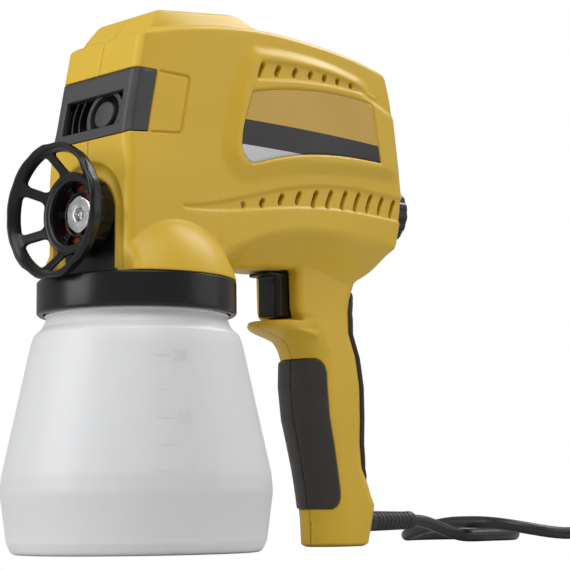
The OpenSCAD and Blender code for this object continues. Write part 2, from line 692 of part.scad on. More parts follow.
module nozzle_seal() {
    color("#c2492c") difference() {
        along_x(seal_x, 0, nozzle_z) cylinder(r = stub_r, h = 1.8, $fn = 64);
        along_x(seal_x - 1, 0, nozzle_z) cylinder(r = 6.3, h = 4, $fn = 64);
    }
}
hex_x = seal_x + 1.9;
hex_len = 3.4;
jet_r = 2.2;
module nozzle_tip() {
    color("#c9ccd0") difference() {
        union() {
            along_x(hex_x, 0, nozzle_z) intersection() {
                cylinder(d = hex_d, h = hex_len, $fn = 6);
                cylinder(r1 = hex_d / 2 + 1.6, r2 = hex_d / 2 - 1, h = hex_len, $fn = 64);
            }
            along_x(spigot_x, 0, nozzle_z) cylinder(r = 6, h = hex_x - spigot_x + 1, $fn = 64);
        }
        along_x(spigot_x - 1, 0, nozzle_z) cylinder(r = 2, h = 30, $fn = 32);
        along_x(hex_x + 1, 0, nozzle_z) cylinder(r = jet_r + 0.05, h = 10, $fn = 48);
    }
}
module nozzle_jet() {
    color(brass) along_x(hex_x + 1, 0, nozzle_z) difference() {
        cylinder(r = jet_r, h = hex_len - 1.4, $fn = 48);
        translate([0, 0, -1]) cylinder(r = 0.4, h = 9, $fn = 24);
        translate([0, 0, hex_len - 2.4]) cylinder(r1 = 0.4, r2 = 1.7, h = 1.1, $fn = 32);
    }
}

// ---- nozzle guard -----------------------------------------------------------------

hub_r = 17.2;
hub_hole = 14;
hub_back = pump_front + 0.5;
hub_front = 38.5;
spoke_w = 4.8;
gap_turn = 216.5; // where the first gap stands, from the bottom
gap_in = hub_r + 0.9; // the dish is open between these radii
gap_out = guard_r - 4.4;
gap_round = min(1.8, (gap_out - gap_in) / 2 - 0.3);
// Angle from a gap's middle to the centre of its corner, r from the axis
function corner_angle(r) = 180 / spokes - asin((spoke_w / 2 + gap_round) / r);
function polar(r, a) = [r * cos(a), r * sin(a)];
module guard_gap() {
    r1 = gap_out - gap_round;
    r0 = gap_in + gap_round;
    a1 = corner_angle(r1);
    a0 = corner_angle(r0);
    flank = 90 + 180 / spokes;
    half = concat(arc_points([0, 0], gap_out, 0, a1, 3),
        arc_points(polar(r1, a1), gap_round, a1 + 20, flank, 3),
        arc_points(polar(r0, a0), gap_round, flank + 20, 180 + a0, 3),
        arc_points([0, 0], gap_in, a0 * 2 / 3, 0, 2));
    linear_extrude(30) polygon(concat(half,
        [for (i = [len(half) - 2:-1:1]) [half[i][0], -half[i][1]]]));
}
module nozzle_guard() {
    web = hex_d / 2 + 0.3;
    rim_back = guard_front - rim_depth;
    color(black) translate([0, 0, nozzle_z]) difference() {
        union() {
            // hub, dish and rim
            rotate([0, 90, 0]) rotate_extrude($fn = 96) polygon([
                [hub_hole, hub_back], [hub_r, hub_back], [hub_r, hub_front - 2],
                [guard_r - 4, rim_back + 0.4], [guard_r - 1, rim_back], [guard_r, guard_front - 1],
                [guard_r - 0.9, guard_front], [guard_r - 2.2, guard_front],
                [guard_r - 2.9, guard_front - 0.8], [guard_r - 4.3, rim_back + 2],
                [hub_r, hub_front], [hub_hole + 0.5, hub_front], [hub_hole, hub_front - 0.5]]);
            // grip ribs
            for (i = [0:11]) rotate([30 * i + 15, 0, 0])
                translate([hub_back + 1, -1.2, hub_r - 0.6]) cube([6.5, 2.4, 1.5]);
            // nozzle seat ring on its webs
            ring_x(hex_x + 0.3, hex_x + 2.6, web + 1, web);
            for (i = [0:spokes - 1]) rotate([360 * i / spokes + 32, 0, 0])
                translate([hex_x + 0.3, -1.8, web + 0.5]) cube([2.3, 3.6, hub_hole - web]);
        }
        for (i = [0:spokes - 1]) along_x(hub_back + 1) rotate(gap_turn + 360 * i / spokes) guard_gap();
        // scallops round the rim
        for (i = [0:11]) rotate([30 * i, 0, 0])
            along_x(rim_back - 1, 0, guard_r + 14)
            cylinder(r = 15, h = rim_depth + 2, $fn = 48);
        along_x(hub_back - 1) cylinder(r = web, h = 30, $fn = 64);
    }
}

// ---- jar, collar and tubes ----------------------------------------------------------

collar_low = collar_top - collar_h;
gasket_t = 1.6;
module jar_collar() {
    lip_in = lid_r + 0.1;
    color(black) rotate_extrude($fn = 128) polygon([
        [collar_in, collar_low], [collar_r - 0.8, collar_low], [collar_r, collar_low + 0.8],
        [collar_r, collar_top - 0.8], [collar_r - 0.8, collar_top], [lid_r - 5.6, collar_top],
        [lid_r - 5.6, lid_z + lid_t + 0.1], [lip_in, lid_z + lid_t + 0.1], [lip_in, lid_z + 0.4],
        [collar_in, lid_z + 0.4]]);
}
module jar_gasket() {
    color("#3a3a3a") translate([0, 0, lid_z - gasket_t - 0.1]) difference() {
        cylinder(r = neck_r - 0.4, h = gasket_t, $fn = 96);
        translate([0, 0, -1]) cylinder(r = neck_r - 6, h = gasket_t + 2, $fn = 96);
    }
}
jar_base_r = jar_r - 6.8;
shoulder_z = collar_low - 8;
jar_mouth_z = lid_z - gasket_t - 0.2;
// Outline of the jar's outside, d inside the skin
function jar_outline(d) = concat(
    [[jar_base_r - d, d]], arc_points([jar_r - 7.6 - d, 4.8], 4.8 - d * 0.4, -80, -8, 5),
    arc_points([jar_r - 8, jar_wide_z - 1], 8 - d, -4, 13, 4),
    [[shoulder_r + 1.6 - d, shoulder_z - 5]],
    arc_points([shoulder_r - 4.4, shoulder_z - 3], 5 - d, 20, 80, 4),
    [[neck_r - d, shoulder_z + 3.4]]);
function arc_points(c, r, a0, a1, n) = [for (k = [0:n])
    let (a = a0 + (a1 - a0) * k / n) [c[0] + r * cos(a), c[1] + r * sin(a)]];
module paint_jar() {
    outer = jar_outline(0);
    inner = jar_outline(jar_wall);
    color("#d8d8d6") rotate_extrude($fn = 128) polygon(concat([[0, 0]], outer,
        [[neck_r, jar_mouth_z], [neck_r - jar_wall, jar_mouth_z]],
        [for (i = [len(inner) - 1:-1:0]) inner[i]], [[0, jar_wall]]));
    color("#d8d8d6") for (z = [shoulder_z + 6.2, shoulder_z + 10.2])
        translate([0, 0, z]) rotate_extrude($fn = 128)
        polygon([[neck_r - 0.5, 0], [neck_r + 0.9, 0.5], [neck_r + 0.9, 1], [neck_r - 0.5, 1.5]]);
}
suction_r = 4;
module suction_tube() {
    color("#e2e2de") translate([0, 0, filter_z + 8]) difference() {
        cylinder(r = suction_r, h = lid_z - filter_z - 5, $fn = 48);
        translate([0, 0, -1]) cylinder(r = 2.8, h = 130, $fn = 48);
    }
}
filter_z = 8;
module intake_filter() {
    color("#d9d4c4") translate([0, 0, filter_z]) {
        difference() {
            cylinder(r = 11, h = 8 - 0.05, $fn = 64);
            translate([0, 0, -1]) cylinder(r = 9.6, h = 7.6, $fn = 64);
            translate([0, 0, 5]) cylinder(r = 2.8, h = 5, $fn = 32);
        }
        for (a = [0, 60, 120]) rotate(a) translate([-9.9, -0.6, 0]) cube([19.8, 1.2, 1.2]);
    }
}
return_r = 3;
module return_tube() {
    color("#e2e2de") translate([-24, 0, 66]) difference() {
        cylinder(r = return_r, h = lid_z - 66 + 3, $fn = 32);
        translate([0, 0, -1]) cylinder(r = 2, h = 80, $fn = 32);
    }
}

// ---- electromagnet and armature ------------------------------------------------------

pivot_z = nozzle_z + 11.2;
core_x = -92;
core_z = pivot_z + 16.7;
core = [44, 30, up(209) - core_z]; // length, width and height of the lamination stack
limb = core[2] * 7 / 34; // of the stack's limbs and of the windows between them
module magnet_core() {
    color("#7d8085") translate([core_x, -core[1] / 2, core_z]) difference() {
        cube(core);
        for (z = [limb, core[2] - 2 * limb])
            translate([10, -1, z]) cube([core[0], core[1] + 2, limb]);
    }
}
module magnet_coil() {
    legs = [core_z + limb, core_z + core[2] - limb];
    color("#8a4b22") translate([core_x + 13, 0, 0]) difference() {
        translate([0, -core[1] / 2 - 4.5, legs[0] + 0.3])
            cube([core[0] - 17, core[1] + 9, legs[1] - legs[0] - 0.6]);
        translate([-1, -core[1] / 2 - 0.1, legs[0] + limb - 0.1])
            cube([core[0], core[1] + 0.2, core[2] - 4 * limb + 0.2]);
    }
}
module magnet_buffer() {
    color(soft_black) translate([core_x, -9, core_z + core[2] + 0.05])
        cube([core[0] - 4, 18, 5]);
}
arm_x = -38; // front face of the armature's plate
arm_t = 5;
pin_hole = 2.5;
module armature() {
    color("#8d9095") difference() {
        union() {
            translate([arm_x - arm_t, -14, pivot_z]) cube([arm_t, 28, core_z + core[2] - 3 - pivot_z]);
            translate([arm_x - arm_t / 2, 14, pivot_z]) rotate([90, 0, 0]) cylinder(r = 5.5, h = 28, $fn = 48);
            translate([arm_x - arm_t, -5, nozzle_z - 5]) cube([arm_t, 10, pivot_z - nozzle_z + 5]);
            along_x(arm_x - 1, 0, nozzle_z) cylinder(r = 3.5, h = head_x - arm_x - 2, $fn = 32);
            along_x(head_x - 3 - eps, 0, nozzle_z) cylinder(r1 = 3.5, r2 = 1, h = 2.9, $fn = 32);
        }
        translate([arm_x - arm_t / 2, 15, pivot_z]) rotate([90, 0, 0])
            cylinder(r = pin_hole + 0.05, h = 30, $fn = 48);
    }
}
module armature_pin() {
    reach = plan_half(arm_x) - shell_wall - 0.3;
    color(steel) translate([arm_x - arm_t / 2, reach, pivot_z]) rotate([90, 0, 0])
        cylinder(r = pin_hole, h = 2 * reach, $fn = 48);
}

// ---- volume knob ------------------------------------------------------------------------

bush_r = 7;
spindle_r = 3;
knob_x = rear_x - 6.5; // rear face of the knob's skirt
module spindle_bush() {
    color(black) difference() {
        union() {
            along_x(rear_x + 0.4, 0, knob_z) cylinder(r = bush_r, h = 13, $fn = 48);
            along_x(rear_x + 6, 0, knob_z) cylinder(r = bush_r + 2, h = 3, $fn = 48);
        }
        along_x(rear_x - 1, 0, knob_z) cylinder(r = spindle_r + 0.05, h = 30, $fn = 48);
    }
}
module adjusting_spindle() {
    color(steel) along_x(knob_x + 2, 0, knob_z)
        cylinder(r = spindle_r, h = arm_x - arm_t - 2.4 - knob_x - 2, $fn = 48);
}
module volume_knob() {
    color(black) translate([knob_x, 0, knob_z]) rotate([0, 90, 0]) difference() {
        union() {
            rotate_extrude($fn = 96) polygon(concat([[0, 6]], [[knob_r, 6]], [[knob_r, 1.5]],
                arc_points([knob_r - 2, 1], 2, 0, -75, 4), [[0, -2.2]]));
            for (i = [0:17]) rotate(20 * i) translate([knob_r - 0.8, -0.8, 0.8]) cube([1.5, 1.6, 5.2]);
        }
        translate([0, 0, 2]) cylinder(r = spindle_r + 0.02, h = 10, $fn = 48);
    }
}

// ---- trigger and switch -------------------------------------------------------------------

trigger_front = -83.2;
flange_front = -77.2;
flange_t = 1.8;
trigger_back = neck_front - 9;
module trigger() {
    color(black) difference() {
        union() {
            translate([trigger_back, -trigger_half, trigger_z])
                cube([trigger_front - trigger_back, 2 * trigger_half, trigger_h]);
            translate([trigger_back, -trigger_half, trigger_z + trigger_h - eps])
                cube([flange_front - 3 - trigger_back, 2 * trigger_half, flange_t + eps]);
            translate([flange_front - 3 - eps, 3 - trigger_half, trigger_z + trigger_h])
                cube([3, 2 * trigger_half - 6, flange_t]);
            for (s = [-1, 1]) translate([flange_front - 3, s * (trigger_half - 3), trigger_z + trigger_h])
                cylinder(r = 3, h = flange_t, $fn = 32);
        }
        for (s = [-1, 1]) translate([trigger_front, s * trigger_half, trigger_z - 1]) rotate(45)
            cube([2.4, 2.4, 2 * trigger_h - 3], center = true);
        along_x(trigger_back - 1, 0, spring_z) cylinder(r = 3.6, h = 5, $fn = 48);
    }
}
spring_z = trigger_z + 5;
plunger_z = trigger_z + 13;
switch_front = trigger_back - trigger_travel - 1;
switch_size = [20, 16, 19];
module trigger_spring() {
    color(steel) translate([0, 0, spring_z]) spring(switch_front + 0.1, trigger_back + 3.9, 2.9, 0.5, 6);
}
module switch_plunger() {
    color("#c9c9c4") translate([switch_front - trigger_travel - 2, -2, plunger_z - 2])
        cube([trigger_back - switch_front + trigger_travel + 2, 4, 4]);
}
module micro_switch() {
    color("#2c2c2e") translate([switch_front - switch_size[0], -switch_size[1] / 2, trigger_z - 0.5])
        difference() {
            cube([switch_size[0], switch_size[1], switch_size[2]]);
            translate([switch_size[0] - trigger_travel - 8, 5.6, 10.5 + 0.7])
                cube([20, switch_size[1] - 11.2, 4.8]);
        }
}

// ---- mains lead ------------------------------------------------------------------------------

cord_z = 12;
cord_r = cord_d / 2;
sleeve_len = 38;
foot_rear = -150;
sleeve_end = foot_rear - sleeve_len;
clamp_x = -132;
wire_r = 1.2;
module inner_wires() {
    up = spline([[-133.8, 1.6, 12], [-130, 1.8, 12.4], [-125, 3, 18], [-122, 4, 34], [-120, 4, 62],
        [-120, 4, 92], [-120, 4, 109.9]], 2);
    color("#5b4a8a") tube(up, wire_r, 6);
    color("#7a4b2a") mirror([0, 1, 0]) tube(up, wire_r, 6);
    color("#7a4b2a") tube(spline([[-118, 0, 129.3], [-117, 0, 138], [-113, 0, 152], [-106, 6, core_z - 5],
        [-100, 8, core_z + 7], [core_x - 1.2, 8, core_z + core[2] / 2]], 2), wire_r, 6);
}
module cord_clamp() {
    color(black) difference() {
        translate([clamp_x - 8, -9, shell_wall + 0.1]) cube([8, 18, cord_z + 7.4 - shell_wall]);
        along_x(clamp_x - 9, 0, cord_z) cylinder(r = cord_r + 0.02, h = 10, $fn = 48);
    }
}
module strain_relief() {
    color(black) difference() {
        union() {
            along_x(sleeve_end, 0, cord_z) cylinder(r1 = sleeve_r - 0.7, r2 = sleeve_r, h = sleeve_len + 9.9, $fn = 48);
            along_x(foot_rear + 7.1, 0, cord_z) cylinder(r = sleeve_r + 1.6, h = 2.8, $fn = 48);
        }
        along_x(sleeve_end - 1, 0, cord_z) cylinder(r = cord_r + 0.02, h = sleeve_len + 14, $fn = 48);
    }
}
// Route of the lead from the handle's clamp to the coil, on the floor behind the sprayer
rest_z = cord_r + 0.1;
coil_z = cord_r + 0.9;
coil_pitch = cord_d + 0.6;
in_turns = coil_turns / 2;
coil_out = coil_r + in_turns * coil_pitch / 2; // radius of the coil's outermost turn
run_y = 42.6; // line on which the lead reaches the coil
coil_c = [-330, run_y + coil_out];
join = coil_c[0] + cord_d;
loop_r = 30; // radius of the loop on the floor and of the turn towards the coil
loop_c = [-262, 4 - loop_r];
quarter = PI * loop_r / 2;
across = run_y - loop_r - loop_c[1];
function ease(t) = let (u = min(1, max(0, t))) u * u * (3 - 2 * u);
// Height of the lead's middle, s past the loop's near end: up over the first run and down again
function rise(s) = rest_z + (cord_d + 0.8) * ease((s - 18) / 52)
    - (cord_d + 0.8 - coil_z + rest_z) * ease((s - 84) / 52);
function on_loop(a) = [loop_c[0] + loop_r * cos(a), loop_c[1] + loop_r * sin(a),
    rise((a - 270) / 90 * quarter)];
function on_turn(a) = [loop_c[0] + loop_r * cos(a), run_y - loop_r + loop_r * sin(a),
    rise(quarter + across + a / 90 * quarter)];
cord_route = concat(
    [[-134, 0, cord_z], [-148, 0, cord_z], [-162, 0, cord_z], [-176, 0, cord_z]],
    [for (x = [sleeve_end - 3:-8:sleeve_end - 43]) let (t = (sleeve_end - 3 - x) / 48)
        [x, 4 * ease(t), cord_z + (rest_z - cord_z) * ease(1.2 * t)]],
    [[-240, 4, rest_z], [-251, 4, rest_z]],
    [for (a = [90:20:350]) on_loop(a)],
    [for (d = [0, 0.25, 0.5, 0.75]) [loop_c[0] + loop_r, loop_c[1] + d * across, rise(quarter + d * across)]],
    [for (a = [0:22.5:90]) on_turn(a)],
    [[-275, run_y, coil_z], [-288, run_y, coil_z], [-302, run_y, coil_z],
        [join + cord_d, run_y, coil_z]]);
function smooth(p) = [for (i = [0:len(p) - 1])
    i == 0 || i == len(p) - 1 ? p[i] : (p[i - 1] + 2 * p[i] + p[i + 1]) / 4];
cord_path = concat(smooth(smooth(spline(cord_route, 2))), [[join, run_y, coil_z]]);
module power_cord() { color(black) tube(cord_path, cord_r, 8); }

// The put-away coil: it spirals in on the floor and out again one layer up
layer = cord_d + 0.6;
coil_steps = 24;
function coil_point(t) =
    let (down = t < in_turns, a = -90 - 360 * t,
        r = coil_out - (down ? t : coil_turns - t) * coil_pitch,
        z = coil_z + layer * min(1, max(0, (t - in_turns + 0.25) / 0.5)))
    [coil_c[0] + r * cos(a), coil_c[1] + r * sin(a), z];
coil_end = coil_point(coil_turns);
plug_x = coil_c[0] + 62;
plug_drop = 8; // how far the plug lies inside the coil's outer line
plug_y = coil_end[1] - plug_drop;
plug_body_h = 13.7;
coil_path = concat([[join, run_y, coil_z]],
    [for (k = [0:round(coil_turns * coil_steps)]) coil_point(k / coil_steps)],
    [for (k = [0:6]) let (t = k / 6, e = t * t * (3 - 2 * t))
        [blend_to(coil_end[0] + 5, plug_x - 12.5, t), coil_end[1] - plug_drop * e,
            blend_to(coil_end[2], plug_body_h / 2, e)]],
    [[plug_x - 5, plug_y, plug_body_h / 2]],
    [[plug_x + 5, plug_y, plug_body_h / 2]]);
module cord_coil() { color(black) tube(coil_path, cord_r, 6); }
// Least clear distance between stretches of one tube that lie at least k points apart
function self_gap(p, k) = min([for (i = [0:len(p) - 1 - k], j = [i + k:len(p) - 1])
    norm(p[i] - p[j])]) - cord_d;
echo(str("Least gap of the lead to itself, mm: ", self_gap(cord_path, 6)));
echo(str("Least gap of the coil to itself, mm: ", self_gap(coil_path, 9)));
tie_t = 0.8;
module cord_tie() {
    r0 = coil_out - (in_turns - 0.5) * coil_pitch - cord_r - 0.9;
    w = (in_turns - 1.25) * coil_pitch + cord_d + 1.3;
    color("#1d1d1e") translate([coil_c[0] + r0, coil_c[1] - 5, 0]) difference() {
        translate([-tie_t, 0, 0]) cube([w + 2 * tie_t, 10, layer + cord_d + 0.4 + 2 * tie_t]);
        translate([0, -1, tie_t]) cube([w, 12, layer + cord_d + 0.4]);
    }
}
plug_w = 35.3;
plug_l = 34;
module plug_body() {
    color(black) translate([plug_x, plug_y, 0]) difference() {
        union() {
            linear_extrude(plug_body_h) polygon([[0, -7], [13, -13], [22, -plug_w / 2 + 1],
                [24, -plug_w / 2], [plug_l, -plug_w / 2], [plug_l, plug_w / 2], [24, plug_w / 2],
                [22, plug_w / 2 - 1], [13, 13], [0, 7]]);
            along_x(-12, 0, plug_body_h / 2) cylinder(r1 = 4.4, r2 = 5.4, h = 13, $fn = 48);
        }
        along_x(-13, 0, plug_body_h / 2) cylinder(r = cord_r + 0.02, h = 19, $fn = 48);
        for (s = [-1, 1]) along_x(plug_l - 12, s * pin_pitch / 2, plug_body_h / 2)
            cylinder(r = pin_r - 0.38, h = 14, $fn = 48);
    }
}
module plug_pins() {
    color(steel) for (s = [-1, 1])
        along_x(plug_x + plug_l, plug_y + s * pin_pitch / 2, plug_body_h / 2) {
            translate([0, 0, -12]) cylinder(r = pin_r - 0.4, h = 13, $fn = 48);
            translate([0, 0, 0.05]) cylinder(r = pin_r, h = pin_len, $fn = 48);
        }
}

// ---- housing screws -----------------------------------------------------------------------------

module housing_screws() {
    color(steel) for (p = screw_places) translate([p[0], 0, p[1]]) rotate([90, 0, 0]) {
        translate([0, 0, -8]) cylinder(r = 1.75, h = p[2] + 8 - 3.1, $fn = 32);
        translate([0, 0, p[2] - 3.1]) cylinder(r = 3.4, h = 2.4, $fn = 32);
    }
}

left_housing_shell();
right_housing_shell();
front_panel();
grille_insert();
left_label_plate();
right_label_plate();
left_grip();
right_grip();
rear_grip();
pump_housing();
pump_cylinder();
piston();
piston_spring();
outlet_valve();
valve_spring();
nozzle_seal();
nozzle_tip();
nozzle_jet();
nozzle_guard();
jar_collar();
jar_gasket();
paint_jar();
suction_tube();
intake_filter();
return_tube();
magnet_core();
magnet_coil();
magnet_buffer();
armature();
armature_pin();
adjusting_spindle();
volume_knob();
spindle_bush();
trigger();
trigger_spring();
switch_plunger();
micro_switch();
inner_wires();
cord_clamp();
housing_screws();
strain_relief();
power_cord();
cord_coil();
cord_tie();
plug_body();
plug_pins();
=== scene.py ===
"""The looks of a handheld airless paint sprayer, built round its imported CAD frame.

Shapes are worked out in millimetres, in the CAD's own frame (origin on the jar's axis at the
floor, +X the spraying direction, +Z up), and turned into metres when a mesh is made. Moulded
pieces are distance fields: simple solids joined and cut with rounded edges on a grid of points,
then meshed with OpenVDB.
"""
import json
import math

import bmesh
import bpy
import numpy as np
import openvdb
from mathutils import Matrix, Vector


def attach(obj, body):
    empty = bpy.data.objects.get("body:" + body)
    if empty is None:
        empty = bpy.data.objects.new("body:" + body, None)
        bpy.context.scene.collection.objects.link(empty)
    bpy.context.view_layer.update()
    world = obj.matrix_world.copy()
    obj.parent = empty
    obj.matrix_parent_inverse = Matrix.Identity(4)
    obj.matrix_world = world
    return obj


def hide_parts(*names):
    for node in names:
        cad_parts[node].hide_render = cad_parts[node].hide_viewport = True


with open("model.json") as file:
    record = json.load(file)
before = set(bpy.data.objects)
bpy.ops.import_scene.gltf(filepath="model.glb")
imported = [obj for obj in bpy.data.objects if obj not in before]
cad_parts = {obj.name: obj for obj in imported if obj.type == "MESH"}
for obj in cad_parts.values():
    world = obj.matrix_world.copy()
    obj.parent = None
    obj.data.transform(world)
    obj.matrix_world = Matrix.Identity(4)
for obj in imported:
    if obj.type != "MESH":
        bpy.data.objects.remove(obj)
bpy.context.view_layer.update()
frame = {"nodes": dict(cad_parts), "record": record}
MM = 0.001

# ---- main sizes, in millimetres -----------------------------------------------------------------
BODY_HALF = 29.2
BODY_TOP = 241.6
FRONT_X = 29.0
REAR_X = -165.0
WALL = 2.5
BEZEL_H = 2.4
COLLAR_TOP = 119.8
FLOOR_Z = COLLAR_TOP + 0.2
NOZZLE_Z = 147.1
KNOB_Z = 169.5
PANEL_LOW, PANEL_HIGH, PANEL_LEAN = 180.5, 210.6, 6.2
CORD_R = 3.2
CORD_Z = 12.0

# ---- camera ----------------------------------------------------------------------------------


def add_camera():
    """The viewpoint: close to the floor, looking slightly up."""
    yaw, pitch, roll = (math.radians(a) for a in (43.77, 7.37, -0.68))
    up = Vector((0, 0, 1))
    level = Vector((-math.cos(yaw), -math.sin(yaw), 0))
    right = level.cross(up)
    ahead = level * math.cos(pitch) + up * math.sin(pitch)
    above = right.cross(ahead)
    side = right * math.cos(roll) + above * math.sin(roll)
    top = above * math.cos(roll) - right * math.sin(roll)
    data = bpy.data.cameras.new("camera")
    data.sensor_width = 36
    data.lens = 109.93
    data.clip_start, data.clip_end = 0.05, 50
    camera = bpy.data.objects.new("camera", data)
    bpy.context.collection.objects.link(camera)
    turn = Matrix((side, top, -ahead)).transposed()
    camera.matrix_world = Matrix.Translation((0.512896, 0.583201, 0.018)) @ turn.to_4x4()
    bpy.context.scene.camera = camera


add_camera()

# ---- materials ---------------------------------------------------------------------------------


class Shader:
    """A Principled material with its nodes added by short calls."""

    def __init__(self, name, color, rough, **sockets):
        self.mat = bpy.data.materials.new(name)
        self.mat.use_nodes = True
        self.tree = self.mat.node_tree
        self.bsdf = self.tree.nodes["Principled BSDF"]
        self.bsdf.inputs["Base Color"].default_value = (*color, 1)
        self.bsdf.inputs["Roughness"].default_value = rough
        for key, value in sockets.items():
            self.bsdf.inputs[key.replace("_", " ")].default_value = value
        self.color, self.rough = color, rough
        self.place = self.tree.nodes.new("ShaderNodeTexCoord").outputs["Object"]
        self.height = None

    def node(self, kind, links=(), **settings):
        n = self.tree.nodes.new(kind)
        for key, value in settings.items():
            setattr(n, key, value)
        for key, value in dict(links).items():
            if isinstance(value, bpy.types.NodeSocket):
                self.tree.links.new(value, n.inputs[key])
            else:
                n.inputs[key].default_value = value
        return n

    def math(self, op, a, b=None):
        links = {0: a} if b is None else {0: a, 1: b}
        return self.node("ShaderNodeMath", links, operation=op).outputs[0]

    def noise(self, scale, detail=2, stretch=None):
        place = self.place
        if stretch:
            place = self.node("ShaderNodeMapping", {"Vector": place, "Scale": stretch}).outputs[0]
        links = {"Vector": place, "Scale": scale, "Detail": detail}
        return self.node("ShaderNodeTexNoise", links).outputs["Fac"]

    def ramp(self, value, low, high, out_low, out_high):
        return self.node("ShaderNodeMapRange", {"Value": value, "From Min": low, "From Max": high,
                                                "To Min": out_low, "To Max": out_high}).outputs[0]

    def mix(self, factor, a, b):
        """Colour a, or b where factor is 1."""
        a, b = [c if isinstance(c, bpy.types.NodeSocket) else (*c, 1) for c in (a, b)]
        return self.node("ShaderNodeMix", {0: factor, 6: a, 7: b}, data_type="RGBA").outputs[2]

    def use_color(self, socket):
        self.tree.links.new(socket, self.bsdf.inputs["Base Color"])
        return self

    def mottled(self, scale, amount):
        """Slow changes of tone, as in any moulding or worn metal."""
        f = self.ramp(self.noise(scale, 3), 0.3, 0.7, 0, 1)
        dark = tuple(c * (1 - amount) for c in self.color)
        light = tuple(min(1, c * (1 + amount)) for c in self.color)
        return self.use_color(self.mix(f, dark, light))

    def varied(self, scale, amount, stretch=None):
        """Roughness that wanders, as handled surfaces do."""
        low, high = self.rough - amount, self.rough + amount
        r = self.ramp(self.noise(scale, 4, stretch), 0.3, 0.7, low, high)
        self.tree.links.new(r, self.bsdf.inputs["Roughness"])
        return self

    def grain(self, scale, depth, detail=2, stretch=None):
        """A fine surface texture, depth in metres."""
        bump = {"Height": self.noise(scale, detail, stretch), "Distance": depth, "Strength": 1.0}
        if self.height:
            bump["Normal"] = self.height
        self.height = self.node("ShaderNodeBump", bump).outputs[0]
        self.tree.links.new(self.height, self.bsdf.inputs["Normal"])
        return self


# Of each material: colour, roughness, other sockets, then scale and amount of its mottling and of
# its roughness's wandering, and scale, depth (metres), detail and stretch of each grain.
SPECULAR, METAL = "Specular_IOR_Level", "Metallic"
TABLE = {
    "yellow_plastic": ((0.735, 0.475, 0.037), 0.37, {SPECULAR: 0.38}, (14, 0.03), (40, 0.05),
                       (2600, 0.00002, 3), (28, 0.00006)),
    "black_plastic": ((0.009, 0.009, 0.0095), 0.26, {SPECULAR: 0.38}, (60, 0.08), (70, 0.02),
                      (1800, 0.00002, 3)),
    "panel_grey": ((0.050, 0.049, 0.052), 0.42, {}, (50, 0.08), (90, 0.06), (3200, 0.00004, 3)),
    "soft_grip": ((0.030, 0.027, 0.025), 0.58, {"Sheen_Weight": 0.15}, (60, 0.12), (120, 0.06),
                  (2400, 0.00007, 4)),
    "natural_tube": ((0.62, 0.61, 0.56), 0.35, {}, (80, 0.05), (60, 0.08)),
    "steel": ((0.55, 0.56, 0.58), 0.3, {METAL: 1.0}, (200, 0.1), (150, 0.08, (1, 12, 12)),
              (900, 0.00003, 3, (1, 20, 20))),
    "nickel": ((0.74, 0.74, 0.75), 0.24, {METAL: 1.0}, (300, 0.06), (200, 0.08), (2500, 0.00002, 3)),
    "brass_metal": ((0.62, 0.44, 0.2), 0.28, {METAL: 1.0}, (400, 0.12), (300, 0.08),
                    (2500, 0.00002, 3)),
    "red_seal": ((0.36, 0.035, 0.015), 0.45, {}, (200, 0.12), (200, 0.08)),
    "rubber_black": ((0.022, 0.022, 0.023), 0.5, {}, (90, 0.15), (110, 0.06), (1500, 0.00005, 3)),
    "lamination": ((0.2, 0.205, 0.215), 0.45, {METAL: 0.6}, (100, 0.2), (150, 0.1),
                   (60, 0.0002, 2, (1, 1, 24))),
    "winding": ((0.36, 0.13, 0.045), 0.3, {METAL: 0.5}, (150, 0.2), (150, 0.1),
                (50, 0.0003, 2, (1, 1, 30))),
    "cord_pvc": ((0.021, 0.021, 0.021), 0.36, {}, (60, 0.15), (80, 0.07), (1500, 0.00003, 3)),
    "switch_plastic": ((0.03, 0.03, 0.032), 0.4, {}, (90, 0.15), (90, 0.06)),
    "wire_pvc": ((0.16, 0.07, 0.1), 0.4, {}, (150, 0.3), (90, 0.06)),
    "milky_marks": ((0.88, 0.88, 0.87), 0.5, {}, (40, 0.02), (50, 0.05)),
    # natural polypropylene: light passes through, and the wall scatters it
    "milky_plastic": ((0.93, 0.93, 0.92), 0.40, {"Subsurface_Weight": 1.0, "Subsurface_Scale": 0.004,
                                                 "Subsurface_Radius": (1.0, 0.97, 0.92)},
                      (9, 0.012), (30, 0.05), (900, 0.00004, 3)),
}


def make_materials():
    made = {"label_film": label_film()}
    for name, (color, rough, sockets, mottling, wander, *grains) in TABLE.items():
        shader = Shader(name, color, rough, **sockets).mottled(*mottling).varied(*wander)
        for grain in grains:
            shader.grain(*grain)
        made[name] = shader
    return {name: shader.mat for name, shader in made.items()}


def label_film():
    """A gold field over a dark band over a silver wedge, with nothing printed on them."""
    s = Shader("label_film", (0.62, 0.38, 0.065), 0.36)
    split = s.node("ShaderNodeSeparateXYZ", {0: s.place})
    x, z = split.outputs[0], split.outputs[2]
    # both edges of the band are straight lines z = a + b * x, in metres
    over = s.math("GREATER_THAN", z, s.math("ADD", s.math("MULTIPLY", x, -0.0258), 0.1949))
    under = s.math("LESS_THAN", z, s.math("ADD", s.math("MULTIPLY", x, -0.019), 0.1833))
    cloud = s.ramp(s.noise(30, 3), 0.3, 0.7, 0, 1)
    gold = s.mix(cloud, (0.60, 0.365, 0.058), (0.64, 0.40, 0.072))
    band = s.mix(cloud, (0.014, 0.014, 0.015), (0.019, 0.018, 0.018))
    silver = s.mix(cloud, (0.60, 0.60, 0.62), (0.68, 0.68, 0.70))
    s.use_color(s.mix(under, s.mix(over, band, gold), silver))
    return s.varied(60, 0.05).grain(1200, 0.00001, 2)


MATERIALS = make_materials()
SLOT_OF = {part["node"]: part["material_slot"] for part in frame["record"]["subparts"]}


